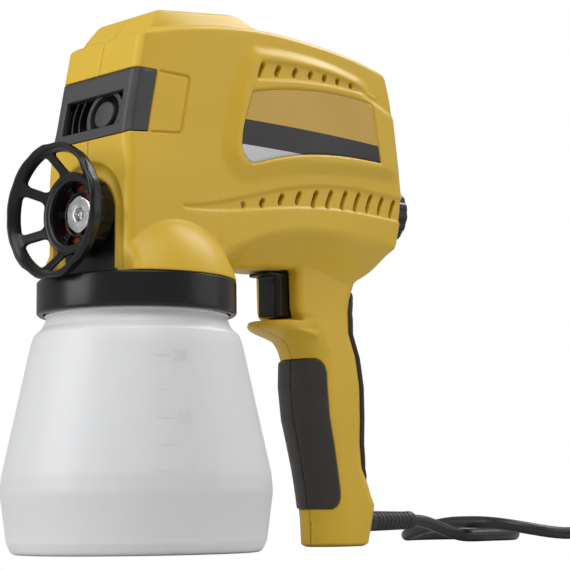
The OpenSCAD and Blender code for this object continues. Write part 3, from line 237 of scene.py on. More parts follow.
def finish_nodes():
    """Every CAD node that still shows gets its slot's material."""
    for name, obj in frame["nodes"].items():
        obj.data.materials.clear()
        obj.data.materials.append(MATERIALS[SLOT_OF[name]])


def dress(obj, slot, body, *nodes):
    """Gives a piece its material and its body, and hides the CAD nodes that it stands for."""
    if obj.type == "MESH" or obj.type == "CURVE":
        obj.data.materials.clear()
        obj.data.materials.append(MATERIALS[slot])
    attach(obj, body)
    if nodes:
        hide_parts(*nodes)
    return obj


# ---- meshes and curves ------------------------------------------------------------------------


def add_mesh(name, points, faces, smooth_deg=40):
    """A mesh from points in millimetres, smooth but for edges sharper than smooth_deg."""
    mesh = bpy.data.meshes.new(name)
    mesh.from_pydata([tuple(p) for p in np.asarray(points, float) * MM], [], faces)
    mesh.validate()
    mesh.shade_smooth()
    mesh.set_sharp_from_angle(angle=math.radians(smooth_deg))
    obj = bpy.data.objects.new(name, mesh)
    bpy.context.collection.objects.link(obj)
    return obj


def rounded(corners, steps=5):
    """A polyline through (a, b, radius) corners, each turned by an arc of its radius."""
    out = []
    n = len(corners)
    for i, (a, b, r) in enumerate(corners):
        if r <= 0 or i in (0, n - 1):
            out.append((a, b))
            continue
        here = Vector((a, b))
        before = Vector(corners[i - 1][:2]) - here
        after = Vector(corners[i + 1][:2]) - here
        half = before.angle(after) / 2
        reach = min(r / math.tan(half), 0.49 * before.length, 0.49 * after.length)
        r = reach * math.tan(half)
        middle = here + (before.normalized() + after.normalized()).normalized() * (r / math.sin(half))
        start, end = here + before.normalized() * reach - middle, here + after.normalized() * reach - middle
        turn = start.angle_signed(end)
        for k in range(steps + 1):
            p = middle + Matrix.Rotation(-turn * k / steps, 2) @ start
            out.append((p.x, p.y))
    return out


def lathe(name, profile, sides=128, axis="Z", at=(0, 0, 0), smooth_deg=40):
    """A turned piece from a closed or axis-to-axis profile of (radius, distance along the axis)."""
    profile = [p for i, p in enumerate(profile) if i == 0 or math.dist(p, profile[i - 1]) > 1e-4]
    points, index = [], []
    for r, h in profile:
        count = 1 if r < 1e-6 else sides
        index.append([len(points) + (k % count) for k in range(sides)])
        for k in range(count):
            a = 2 * math.pi * k / sides
            p = (r * math.cos(a), r * math.sin(a), h)
            if axis == "X":
                p = (p[2], p[0], p[1])
            points.append(tuple(at[c] + p[c] for c in range(3)))
    faces = []
    loops = list(zip(index, index[1:]))
    if profile[0][0] > 1e-6:
        loops.append((index[-1], index[0]))
    for low, high in loops:
        for k in range(sides):
            n = (k + 1) % sides
            corners = []
            for v in (low[k], low[n], high[n], high[k]):
                if v not in corners:
                    corners.append(v)
            if len(corners) > 2:
                faces.append(corners)
    return outward(add_mesh(name, points, faces, smooth_deg))


def outward(obj):
    """Turns the faces of a closed mesh outwards."""
    bm = bmesh.new()
    bm.from_mesh(obj.data)
    bmesh.ops.recalc_face_normals(bm, faces=bm.faces)
    bm.to_mesh(obj.data)
    bm.free()
    return obj


def add_tube(name, lines, radius, sides):
    """Round cords through points in millimetres, as a curve of open splines."""
    data = bpy.data.curves.new(name, "CURVE")
    data.dimensions = "3D"
    data.bevel_depth, data.bevel_resolution, data.use_fill_caps = radius * MM, sides, True
    for line in lines:
        spline = data.splines.new("POLY")
        spline.points.add(len(line) - 1)
        for point, place in zip(spline.points, line):
            point.co = (*(c * MM for c in place), 1)
        spline.use_smooth = True
    obj = bpy.data.objects.new(name, data)
    bpy.context.collection.objects.link(obj)
    return obj


def catmull(points, steps):
    """A smooth curve through points."""
    p = np.array(points, float)
    out = []
    for i in range(len(p) - 1):
        a, b, c, d = p[max(i - 1, 0)], p[i], p[i + 1], p[min(i + 2, len(p) - 1)]
        for t in np.arange(steps) / steps:
            out.append(0.5 * (2 * b + (c - a) * t + (2 * a - 5 * b + 4 * c - d) * t**2
                              + (3 * b - a - 3 * c + d) * t**3))
    return np.array(out + [p[-1]])


def ease(t):
    t = np.clip(t, 0, 1)
    return t * t * (3 - 2 * t)


# ---- mains lead ---------------------------------------------------------------------------------

SLEEVE_END = -188.0
REST_Z = CORD_R + 0.1
COIL_Z = CORD_R + 0.9
PITCH = 2 * CORD_R + 0.6
COIL_TURNS = 6.5
COIL_R = 38.0
RUN_Y = 42.6
COIL_OUT = COIL_R + COIL_TURNS / 2 * PITCH / 2
COIL_C = (-330.0, RUN_Y + COIL_OUT)
JOIN = COIL_C[0] + 2 * CORD_R
LOOP_R = 30.0
LOOP_C = (-262.0, 4 - LOOP_R)
PLUG_X = COIL_C[0] + 62
PLUG_DROP = 8.0
PLUG_H = 13.7
PLUG_W, PLUG_L = 35.3, 34.0
PIN_PITCH, PIN_R = 18.6, 2.0


def lead_route():
    """The lead's points on the floor: down from the handle, round a loop and on to the coil."""
    quarter = math.pi * LOOP_R / 2
    across = RUN_Y - LOOP_R - LOOP_C[1]

    def rise(s):
        hop = 2 * CORD_R + 0.8
        return REST_Z + hop * ease((s - 18) / 52) - (hop - COIL_Z + REST_Z) * ease((s - 84) / 52)

    def around(a, y, s):
        a = math.radians(a)
        return (LOOP_C[0] + LOOP_R * math.cos(a), y + LOOP_R * math.sin(a), rise(s))

    points = [(x, 0, CORD_Z) for x in (-134, -148, -162, -176)]
    for k in range(6):
        t = k / 6
        points.append((SLEEVE_END - 3 - 8 * k, 4 * ease(t), CORD_Z + (REST_Z - CORD_Z) * ease(1.2 * t)))
    points += [(-240, 4, REST_Z), (-251, 4, REST_Z)]
    points += [around(a, LOOP_C[1], (a - 270) / 90 * quarter) for a in range(90, 351, 20)]
    points += [(LOOP_C[0] + LOOP_R, LOOP_C[1] + d * across, rise(quarter + d * across))
               for d in (0, 0.25, 0.5, 0.75)]
    points += [around(a, RUN_Y - LOOP_R, quarter + across + a / 90 * quarter)
               for a in np.arange(0, 91, 22.5)]
    points += [(x, RUN_Y, COIL_Z) for x in (-275, -288, -302, JOIN + 2 * CORD_R)]
    line = catmull(points, 4)
    for _ in range(6):
        line[1:-1] = (line[:-2] + 2 * line[1:-1] + line[2:]) / 4
    return np.vstack([line, (JOIN, RUN_Y, COIL_Z)])


def coil_route():
    """In on the floor, out again one layer up, then down to the plug."""
    inward = COIL_TURNS / 2
    layer = 2 * CORD_R + 0.6
    points = [(JOIN, RUN_Y, COIL_Z)]
    steps = 36
    for k in range(round(COIL_TURNS * steps) + 1):
        t = k / steps
        a = math.radians(-90 - 360 * t)
        r = COIL_OUT - (t if t < inward else COIL_TURNS - t) * PITCH
        z = COIL_Z + layer * min(1, max(0, (t - inward + 0.25) / 0.5))
        points.append((COIL_C[0] + r * math.cos(a), COIL_C[1] + r * math.sin(a), z))
    end = points[-1]
    for k in range(9):
        t = k / 8
        e = float(ease(t))
        points.append((end[0] + 5 + (PLUG_X - 12.5 - end[0] - 5) * t, end[1] - PLUG_DROP * e,
                       end[2] + (PLUG_H / 2 - end[2]) * e))
    plug_y = end[1] - PLUG_DROP
    points += [(PLUG_X - 5, plug_y, PLUG_H / 2), (PLUG_X + 5, plug_y, PLUG_H / 2)]
    line = np.array(points)
    for _ in range(3):
        line[1:-1] = (line[:-2] + 2 * line[1:-1] + line[2:]) / 4
    return line, plug_y


LEAD = lead_route()
COIL, PLUG_Y = coil_route()


def length_of(line):
    return float(np.linalg.norm(np.diff(line, axis=0), axis=1).sum())


def add_lead():
    """One lead from the strain relief to the plug."""
    outside = LEAD[LEAD[:, 0] <= SLEEVE_END]
    line = np.vstack([(SLEEVE_END, 0, CORD_Z), outside, COIL[1:]])
    lead = add_tube("mains_lead", [line], CORD_R, 5)
    dress(lead, "cord_pvc", "housing", "power_cord", "cord_coil")
    hidden = [(x, 0, CORD_Z) for x in (-134, -160, SLEEVE_END + 0.5)]
    inside = add_tube("lead_in_handle", [hidden], CORD_R, 5)
    dress(inside, "cord_pvc", "housing")
    return lead, length_of(line)


def add_strain_relief():
    """A moulded sleeve, ringed so that it bends, ending in a thicker collar."""
    rings = []
    for k in range(9):
        h = 6 + 3.1 * k
        r = 4.55 + 0.6 * h / 38
        rings += [(r - dent, h + up, 0.2) for dent, up in ((0, -0.9), (0.45, -0.6), (0.45, 0.3), (0, 0.6))]
    tail = [(3.22, 0, 0), (4.3, 0, 0.6), (4.75, 1.2, 0.5), (4.75, 4.2, 0.4)]
    collar = [(5.2, 36.6, 0.3), (5.2, 45.1, 0.2), (6.8, 45.1, 0.2), (6.8, 47.9, 0.2), (3.22, 47.9, 0)]
    profile = rounded(tail + rings + collar, 3)
    sleeve = lathe("strain_relief_sleeve", profile, 48, "X", (SLEEVE_END, 0, CORD_Z), 50)
    dress(sleeve, "rubber_black", "housing", "strain_relief")


# ---- distance fields ---------------------------------------------------------------------------


def join(a, b, r=0.0):
    """Union with a fillet of radius r."""
    if r <= 0:
        return np.minimum(a, b)
    u, v = np.maximum(r - a, 0), np.maximum(r - b, 0)
    return np.maximum(r, np.minimum(a, b)) - hyp(u, v)


def both(a, b, r=0.0):
    """Intersection with its edge rounded to radius r."""
    return -join(-a, -b, r)


def cut(a, b, r=0.0):
    """a without b, its edge rounded to radius r."""
    return both(a, -b, r)


def hyp(a, b):
    return np.sqrt(a * a + b * b)


def clamp(t):
    return np.clip(t, 0, 1)


def between(a, b, t):
    return a + (b - a) * clamp(t)


def table(rows, at, column=1):
    rows = np.array(rows, float)
    return np.interp(at, rows[:, 0], rows[:, column]).astype(np.float32)


def box_field(x, y, z, low, high, r=0.0):
    """A box with edges of radius r."""
    q = [np.abs(v - (a + b) / 2) - (b - a) / 2 + r for v, a, b in zip((x, y, z), low, high)]
    far = np.sqrt(sum(np.maximum(v, 0) ** 2 for v in q))
    return far + np.minimum(np.maximum(np.maximum(q[0], q[1]), q[2]), 0) - r


def ellipse_field(dx, y, a, b):
    """Distance to an ellipse of half axes a and b, near its edge."""
    u, v = dx / a, y / b
    k0 = hyp(u, v)
    k1 = np.sqrt((u / a) ** 2 + (v / b) ** 2) + 1e-6
    return k0 * (k0 - 1) / k1


def hull_field(x, y, z, points, r):
    """A convex solid round points, with edges of radius r."""
    bm = bmesh.new()
    for p in points:
        bm.verts.new(p)
    bmesh.ops.convex_hull(bm, input=bm.verts)
    bmesh.ops.recalc_face_normals(bm, faces=bm.faces)
    planes = {}
    for f in bm.faces:
        if f.calc_area() > 1e-3:
            key = tuple(round(c, 2) for c in f.normal)
            planes[key] = (f.normal.copy(), f.normal.dot(f.verts[0].co))
    bm.free()
    field = None
    for normal, level in planes.values():
        d = normal.x * x + normal.y * y + normal.z * z - level
        field = d if field is None else both(field, d, r)
    return field


def outline_field(px, pz, line):
    """Signed distance to a closed outline in the XZ plane, below 0 inside it."""
    line = np.asarray(line, float)
    near = np.full(np.broadcast(px, pz).shape, 1e9)
    inside = np.zeros(near.shape, bool)
    for (ax, az), (bx, bz) in zip(line, np.roll(line, -1, 0)):
        ex, ez = bx - ax, bz - az
        if abs(ex) + abs(ez) < 1e-9:
            continue
        t = clamp(((px - ax) * ex + (pz - az) * ez) / (ex * ex + ez * ez))
        near = np.minimum(near, (px - ax - t * ex) ** 2 + (pz - az - t * ez) ** 2)
        if ez:
            crosses = (az > pz) != (bz > pz)
            inside ^= crosses & (px < ax + (pz - az) * ex / ez)
    return (np.sqrt(near) * np.where(inside, -1, 1)).astype(np.float32)


def runs(parts, steps=6):
    """Smooth curves end to end, with a corner where one meets the next."""
    return np.vstack([catmull(part, steps) for part in parts])


def lens(low, high):
    """An outline between a lower and an upper line that run the same way."""
    return np.vstack([runs(low), runs(high)[::-1]])


def bar_field(px, pz, x, z, height, width, lean, bend=0.0):
    """A leaning bar with round ends, in the XZ plane, whose middle stands forward by bend."""
    a = math.radians(lean)
    u = (px - x) * math.cos(a) - (pz - z) * math.sin(a)
    v = (px - x) * math.sin(a) + (pz - z) * math.cos(a)
    u = u - bend * (1 - 2 * np.minimum(1, np.abs(v) / height * 2) ** 2)
    v = np.maximum(np.abs(v) - max(height - width, 0) / 2, 0)
    return hyp(u, v) - width / 2


class Grid:
    """A box of points where fields are worked out, and the way back to a mesh."""

    def __init__(self, low, high, step):
        self.low, self.step = np.array(low, float), step
        counts = np.ceil((np.array(high) - self.low) / step).astype(int) + 1
        axes = [(self.low[i] + np.arange(counts[i]) * step).astype(np.float32) for i in range(3)]
        self.x, self.y, self.z = axes[0][:, None, None], axes[1][None, :, None], axes[2][None, None, :]
        self.shape = tuple(counts)

    def piece(self, name, field, slot, body, *nodes, adapt=0.01, mirror=False):
        return dress(self.mesh(name, field, adapt, mirror), slot, body, *nodes)

    def blur(self, field, sigma):
        """Softens a field by a Gaussian of sigma millimetres."""
        s = sigma / self.step
        reach = max(1, int(3 * s))
        weights = np.exp(-0.5 * (np.arange(-reach, reach + 1) / s) ** 2)
        weights /= weights.sum()
        for axis in range(field.ndim):
            if field.shape[axis] < 2:
                continue
            pad = [(0, 0)] * field.ndim
            pad[axis] = (reach, reach)
            wide = np.pad(field, pad, mode="edge")
            n = field.shape[axis]
            field = sum(w * np.take(wide, range(k, k + n), axis) for k, w in enumerate(weights))
            field = field.astype(np.float32)
        return field

    def sample(self, field, points):
        """The field at points, between the grid's own."""
        p = (points - self.low) / self.step
        i = np.clip(np.floor(p).astype(int), 0, np.array(self.shape) - 2)
        t = np.clip(p - i, 0, 1)
        out = 0
        for dx in (0, 1):
            for dy in (0, 1):
                for dz in (0, 1):
                    w = (t[:, 0] if dx else 1 - t[:, 0]) * (t[:, 1] if dy else 1 - t[:, 1])
                    w = w * (t[:, 2] if dz else 1 - t[:, 2])
                    out = out + w * field[i[:, 0] + dx, i[:, 1] + dy, i[:, 2] + dz]
        return out

    def mesh(self, name, field, adapt, mirror):
        """A closed mesh of the field's zero surface, shaded by the field's own slope."""
        field = np.ascontiguousarray(np.broadcast_to(field, self.shape), dtype=np.float32)
        edge = 3 * self.step
        field = np.clip(field, -edge, edge)
        for axis in range(3):
            for end in (0, -1):
                part = [slice(None)] * 3
                part[axis] = end
                field[tuple(part)] = edge
        grid = openvdb.FloatGrid(edge)
        grid.gridClass = openvdb.GridClass.LEVEL_SET
        grid.copyFromArray(field, tolerance=0)
        points, triangles, quads = grid.convertToPolygons(isovalue=0.0, adaptivity=adapt)
        points = points * self.step + self.low
        normals = np.empty_like(points)
        for axis in range(3):
            shift = np.zeros(3)
            shift[axis] = 0.8 * self.step
            normals[:, axis] = self.sample(field, points + shift)
            normals[:, axis] -= self.sample(field, points - shift)
        normals /= np.linalg.norm(normals, axis=1)[:, None] + 1e-9
        faces = [f for f in (triangles, quads) if len(f)]
        first = faces[-1][0]
        a, b, c = (points[first[k]] for k in range(3))
        flip = np.dot(np.cross(b - a, c - a), normals[first[0]]) < 0
        if mirror:
            points[:, 1] *= -1
            normals[:, 1] *= -1
            flip = not flip
        mesh = bpy.data.meshes.new(name)
        loops = np.concatenate([(f[:, ::-1] if flip else f).ravel() for f in faces]).astype(np.int32)
        sizes = np.concatenate([np.full(len(f), f.shape[1]) for f in faces])
        mesh.vertices.add(len(points))
        mesh.vertices.foreach_set("co", (points * MM).astype(np.float32).ravel())
        mesh.loops.add(len(loops))
        mesh.loops.foreach_set("vertex_index", loops)
        mesh.polygons.add(len(sizes))
        starts = np.concatenate([[0], np.cumsum(sizes)[:-1]]).astype(np.int32)
        mesh.polygons.foreach_set("loop_start", starts)
        mesh.update(calc_edges=True)
        mesh.validate()
        mesh.shade_smooth()
        if len(mesh.vertices) == len(points):
            mesh.normals_split_custom_set_from_vertices([tuple(n) for n in normals])
        obj = bpy.data.objects.new(name, mesh)
        bpy.context.collection.objects.link(obj)
        return obj


def grid(*box):
    g = Grid(*box)
    return g, g.x, g.y, g.z


# ---- form of the housing -------------------------------------------------------------------------

RAKE = [(118, 0), (180.5, 0), (210.6, -6.2), (226.5, -9.7), (229.4, -12.6), (250, -13)]
UNDER = [
    (-170, 158.5), (-165, 155.2), (-161, 149.2), (-157.5, 145.4), (-151, 139.6), (-145, 135.2),
    (-136, 130.8), (-127.5, 128.6), (-118, 129.8), (-103, 133.4), (-90, 133), (-82, 132.2), (-68, 131.6),
    (-52.5, 129), (-42, 127.4), (-30, 127), (-27.5, FLOOR_Z - 4)
]
FOLD = [
    (-170, 147.6), (-155, 148.3), (-141, 148.9), (-118.6, 149.6), (-96, 149.6), (-81, 148.6), (-65, 146),
    (-47, 141), (-31, 134.3), (-20, 127)
]
# how far the rear face stands ahead of REAR_X at each height
BACK = [
    (110, 9), (142, 3.5), (149, 2.4), (155, 1.2), (162, -1), (168, -2.4), (174, -3), (181, -2.3), (196, 0),
    (216, 3.6), (227, 6), (234, 8.4), (240, 10.5), (250, 14)
]
RAKE_FROM, BACK_FROM = -10.0, -100.0
UNDER, FOLD, BACK = catmull(UNDER, 4), catmull(FOLD, 4), catmull(BACK, 6)
HANDLE = [
    (0, -112.6, -145, 12.5), (1.5, -111.4, -146.5, 13.8), (12, -111.4, -149, 14.4),
    (20, -110.6, -150.8, 14.6), (25, -109.9, -148, 14.7), (30, -109, -146, 14.8), (38, -107.4, -141.2, 15),
    (50, -104.6, -139.5, 15.6), (62, -101.4, -139.7, 16), (78, -99.6, -139.3, 16.3),
    (92, -100.2, -136.8, 16.3), (104, -94, -132.2, 16), (114, -90.5, -130.6, 15.6),
    (121, -90.3, -131.9, 15.6), (128, -90.1, -135, 15.6), (138, -90, -138, 15.6)
]
LIP = [
    (90.8, -100.2, 12.5), (94, -99.2, 13.6), (97.5, -97.2, 14.6), (100, -94, 15.3), (101.8, -88.5, 15.8),
    (103.2, -82, 15.6), (104.4, -77.8, 15), (105.8, -76.4, 15.2), (108.4, -77, 15.2)
]
GRIP_LOW, GRIP_HIGH = 18.5, 90.6
GRIP_REACH = [
    (0, 0.72), (0.02, 0.86), (0.06, 0.97), (0.11, 1), (0.82, 1), (0.9, 0.985), (0.95, 0.92), (0.985, 0.8),
    (1, 0.66)
]
LABEL_LOW = [
    [(-140.9, 190), (-130.7, 189.6), (-118.4, 189), (-106.8, 188.2), (-91.4, 186.6), (-74.8, 184),
    (-61.1, 180.8), (-50.8, 177.8), (-44.6, 175.9)], [(-44.4, 175.8), (-41.7, 176.3), (-39.5, 177.8),
    (-37.4, 180.8), (-36.8, 184)]
]
LABEL_HIGH = [
    [(-140.9, 190.2), (-134.8, 219.1)], [(-134.6, 219.1), (-119.3, 219.3), (-107.6, 218.9), (-91, 217.8),
    (-75.4, 216), (-65.5, 214.5), (-55.9, 212.7), (-44.3, 210.1)], [(-44.1, 210), (-41.6, 203.4),
    (-39.1, 196.1), (-37.4, 189.6), (-36.8, 184.2)]
]
BEZEL_LOW = [
    [(-174, 183), (-146, 182.5), (-119, 180.4), (-96, 177.9), (-80.5, 175.7), (-65.5, 172.5),
    (-51.4, 168.7), (-40.5, 166.4), (-34.3, 167.4), (-29.2, 171.6), (-25.8, 176.7), (-24.6, 182.3)]
]
BEZEL_HIGH = [
    [(-174, 224), (-146, 229.5), (-109, 233.5), (-87, 234.5), (-66.6, 234), (-49.5, 232.7), (-43.5, 230.6),
    (-38.5, 224.8), (-34, 213.5), (-29, 199.6), (-25, 186), (-24.6, 182.8)]
]
CHANNEL_LOW = [
    [(-140, 223.3), (-131.7, 223.1), (-115.9, 222.7), (-96.5, 221.8), (-75.5, 219.8), (-56, 217.1),
    (-46.5, 215.6)]
]
CHANNEL_HIGH = [
    [(-140, 223.6), (-131.7, 224.6), (-118.9, 226.2), (-107.2, 227.2), (-90.7, 227.7), (-75.1, 227.3),
    (-61.3, 226.3), (-50.3, 225)], [(-49.6, 224.4), (-46.5, 215.9)]
]
GROOVE_LOW = [
    [(-175, 163.2), (-161.9, 163.2), (-131.2, 162.8), (-107.4, 162.2), (-85.6, 160.5), (-65.6, 158),
    (-46.9, 155.2), (-29.3, 152.5), (-12.5, 150.9), (-2, 150.7)]
]
GROOVE_HIGH = [
    [(-175, 174.6), (-163.8, 174.8), (-131.5, 174.5), (-107.7, 173.3), (-85.9, 170.8), (-65.7, 166.8),
    (-51.6, 163), (-38, 159.3), (-25, 156), (-12.5, 153.4), (-2, 151.8)]
]
# place and height of each vent
LOW_VENTS = [
    (-39.9, 156.4, 3.2), (-52.2, 158.8, 5.0), (-65, 161.9, 6.2), (-77, 164.1, 7.2), (-89, 165.1, 9.4),
    (-100.2, 166.5, 9.9), (-111.8, 167.5, 10.4), (-122.7, 168.1, 10.8), (-133.2, 168.8, 10.4),
    (-143.6, 169.1, 10.2), (-154.5, 169, 10.2)
]
HIGH_VENTS = [
    (-50.2, 221.1, 7.8), (-61.5, 222.4, 6.4), (-73.4, 223.6, 5.5), (-84.7, 224.6, 4.6), (-95.4, 225.1, 4.1),
    (-105.7, 225.3, 3.6), (-116.6, 225.3, 3)
]
VENT_W, VENT_LEAN = 2.8, -27
SCREWS = [(-2, 217, 19), (-128, 205, 15), (-140, 158, 12), (-58, 137, 12), (-128, 98, 11), (-137, 25.6, 9)]


def plan_half(x):
    return BODY_HALF - (x + 55) ** 2 / (2 * np.where(x > -55, 820, 565))


def crown(x):
    return BODY_TOP - np.maximum(0, x + 72) ** 2 / 600 - np.maximum(0, -85 - x) ** 2 / 2100


def flare(x, z):
    """The front widens a little towards the jar."""
    return (2.7 * ease((190 - z) / 27) + 0.8) * clamp((x + 30) / 58)


def unraked(x, z):
    """Where a leaning section of the housing stands, from a point of it."""
    rake, back = table(RAKE, z), table(BACK, z)
    ahead, behind = FRONT_X - RAKE_FROM, BACK_FROM - REAR_X
    front = (x + rake * RAKE_FROM / ahead) / (1 + rake / ahead)
    rear = (x - BACK_FROM * back / behind) / (1 - np.minimum(back / behind, 0.5))
    return np.where(x > RAKE_FROM, front, np.where(x < BACK_FROM, rear, x)).astype(np.float32)


def side_of(x, z):
    return plan_half(unraked(x, z)) + flare(x, z)


def body_field(x, y, z, raised=0.0):
    """The housing's motor body, with its sides raised by a map of heights."""
    s = unraked(x, z)
    w = plan_half(s) + flare(x, z)
    side = y - w - raised
    top = z - crown(s - 13 * clamp((s - RAKE_FROM) / (FRONT_X - RAKE_FROM)))
    low = np.maximum(table(UNDER, s), FLOOR_Z - 4)
    fold = np.maximum(table(FOLD, s), low + 2)
    flat = np.minimum(w - 0.6, between(w - 0.6, 15, (-24 - s) / 20))
    rise, run = fold + 0.2 - low, w - 0.2 - flat
    facet = ((y - flat) * rise - (z - low) * run) / np.sqrt(rise**2 + run**2)
    field = both(side, facet, 1.3)
    field = both(field, low - z, 2)
    field = both(field, top, 3.2)
    field = both(field, s - FRONT_X, 3.6)
    return both(field, REAR_X - s, 8)


def dome_field(x, y, z):
    ball = np.sqrt(x * x + y * y + (0.96 * (z - COLLAR_TOP + 13)) ** 2) - 46.5
    return both(ball, x - FRONT_X, 2.5)


def hump_field(x, y, z, r=1.6):
    stations = [(5.3, 20.4, 241.0), (-42, 21, float(crown(-42.0)) + 7.6), (13.6, 22.6, 230.2),
                (-58, 23, float(crown(-58.0)) + 0.6), (-30, 26.6, float(crown(-30.0)) - 0.6),
                (0, 25.4, float(crown(0.0)) - 0.6)]
    points = []
    for px, half, top in stations:
        points += [(px, half, top), (px, -half, top), (px, half, 226), (px, -half, 226)]
    return hull_field(x, y, z, points, r)


def handle_parts(x, y, z):
    """The handle's own field, and the angle round its section from the front."""
    front, rear, w = (table(HANDLE, z, k) for k in (1, 2, 3))
    fa, ra = 13.0, 12.0
    ahead, behind = x - (front - fa), (rear + ra) - x
    y = np.abs(y)
    oval = np.where(ahead > 0, ellipse_field(np.maximum(ahead, 0), y, fa, w),
                    np.where(behind > 0, ellipse_field(np.maximum(behind, 0), y, ra, w), y - w))
    blunt = both(both(y - w, x - front, 3), rear - x, 11)
    field = oval + (blunt - oval) * clamp((z - 104) / 8)
    to_front = np.degrees(np.arctan2(y / w, np.maximum(ahead, 1e-3) / fa))
    to_rear = 180 - np.degrees(np.arctan2(y / w, np.maximum(behind, 1e-3) / ra))
    turn = np.where(ahead > 0, to_front, np.where(behind > 0, to_rear, 90))
    return field.astype(np.float32), turn.astype(np.float32)


def lip_field(x, y, z):
    front, w = table(LIP, z, 1), table(LIP, z, 2)
    ahead = x - (front - 13)
    y = np.abs(y)
    field = np.where(ahead > 0, ellipse_field(np.maximum(ahead, 0), y, 13.0, w), y - w)
    field = both(field, -103 - x, 1.5)
    field = both(field, z - 108.2, 0.7)
    return both(field, 91 - z, 1)


def grip_zone(z, turn):
    t = (z - GRIP_LOW) / (GRIP_HIGH - GRIP_LOW)
    edge = 71 * table(GRIP_REACH, t)
    return np.maximum(np.maximum((turn - edge) * 0.245, GRIP_LOW - z), z - GRIP_HIGH)


def rear_zone(z, turn):
    t = (z - 31) / 96
    edge = 127 + 33 * np.abs(2 * clamp(t) - 1) ** 8
    return np.maximum(np.maximum((edge - turn) * 0.22, 31 - z), z - 127)


def side_map(x, z):
    """How far each point of the side stands out of the plain housing, and its slots."""
    s = x + 0 * z
    zz = z + 0 * x
    bezel = outline_field(s, zz, lens(BEZEL_LOW, BEZEL_HIGH))
    flank = 5.4 + 3.0 * ease((s + 100) / 50) * ease((212 - zz) / 24)
    fade = -144 + 26 * ease((zz - 215) / 8)
    climb = clamp(-bezel / flank)
    h = BEZEL_H * (0.6 * climb + 0.4 * ease(climb)) * (1 - ease((fade - s) / 22))
    h = np.where(bezel > 0, 0, h)
    label = outline_field(s, zz, lens(LABEL_LOW, LABEL_HIGH))
    h = between(h, 0.8, 0.5 - label / 0.9)
    channel = outline_field(s, zz, lens(CHANNEL_LOW, CHANNEL_HIGH))
    h = between(h, 1.0, 0.5 - channel / 1.0)
    groove = outline_field(s, zz, lens(GROOVE_LOW, GROOVE_HIGH))
    h = h + (-1.1 - h) * clamp(0.5 - groove / 1.1)
    slots = np.full(h.shape, 1e3, np.float32)
    for vx, vz, height in LOW_VENTS + HIGH_VENTS:
        height = max(VENT_W, (height - VENT_W) / math.cos(math.radians(VENT_LEAN)) + VENT_W)
        slots = np.minimum(slots, bar_field(s, zz, vx, vz, height, VENT_W, VENT_LEAN, 0.02 * height))
    return h.astype(np.float32), slots, np.minimum(groove, channel)


def panel_place(x, z):
    """Depth ahead of the front face and height along it, in the panel's leaning frame."""
    a = math.atan2(PANEL_LEAN, PANEL_HIGH - PANEL_LOW)
    dx, dz = x - FRONT_X, z - PANEL_LOW
    return dx * math.cos(a) + dz * math.sin(a), dz * math.cos(a) - dx * math.sin(a)


PANEL_H = math.hypot(PANEL_LEAN, PANEL_HIGH - PANEL_LOW)
PANEL_WRAP, FIELD_LEN = 11.2, 18.0


def panel_side(ahead, up, back, grow=0.0, r=0.0):
    """The panel's side view, from its face back to a depth: its arms' edges rise to the rear."""
    turn = np.clip(-ahead, 0, 1.5) * 0.8
    low = turn + 0.31 * np.maximum(-ahead - 1.5, 0)
    high = PANEL_H + np.maximum(-ahead, 0) * PANEL_LEAN / (PANEL_HIGH - PANEL_LOW)
    band = both(low - grow - up, up - high - grow, r)
    return both(band, -back - grow - ahead, r)


def panel_band(x, y, z, grow=0.0):
    """The U-shaped space that the grey panel fills."""
    ahead, up = panel_place(x, z)
    s = unraked(x, z)
    core = both(np.abs(y) - plan_half(s) - flare(x, z) + 3 + grow, s - FRONT_X + 3 + grow, 1.5)
    return np.maximum(panel_side(ahead, up, PANEL_WRAP, grow, 0.5), -core)


def arch_field(y, z):
    """Distance from the spraying axis, and from the middle plane below it."""
    return np.where(z > NOZZLE_Z, hyp(y, z - NOZZLE_Z), np.abs(y))


def rod_field(y, z, height, r):
    """A rod along X at a height."""
    return hyp(y, z - height) - r


PUMP_ARCH_R, COVE_R, JAR_SEAT_R = 17.7, 20.3, 38
KNOB_POCKET_R, KNOB_POCKET_X = 17.6, -164.8
BACKING_REAR, BACKING_FRONT = -160, -30


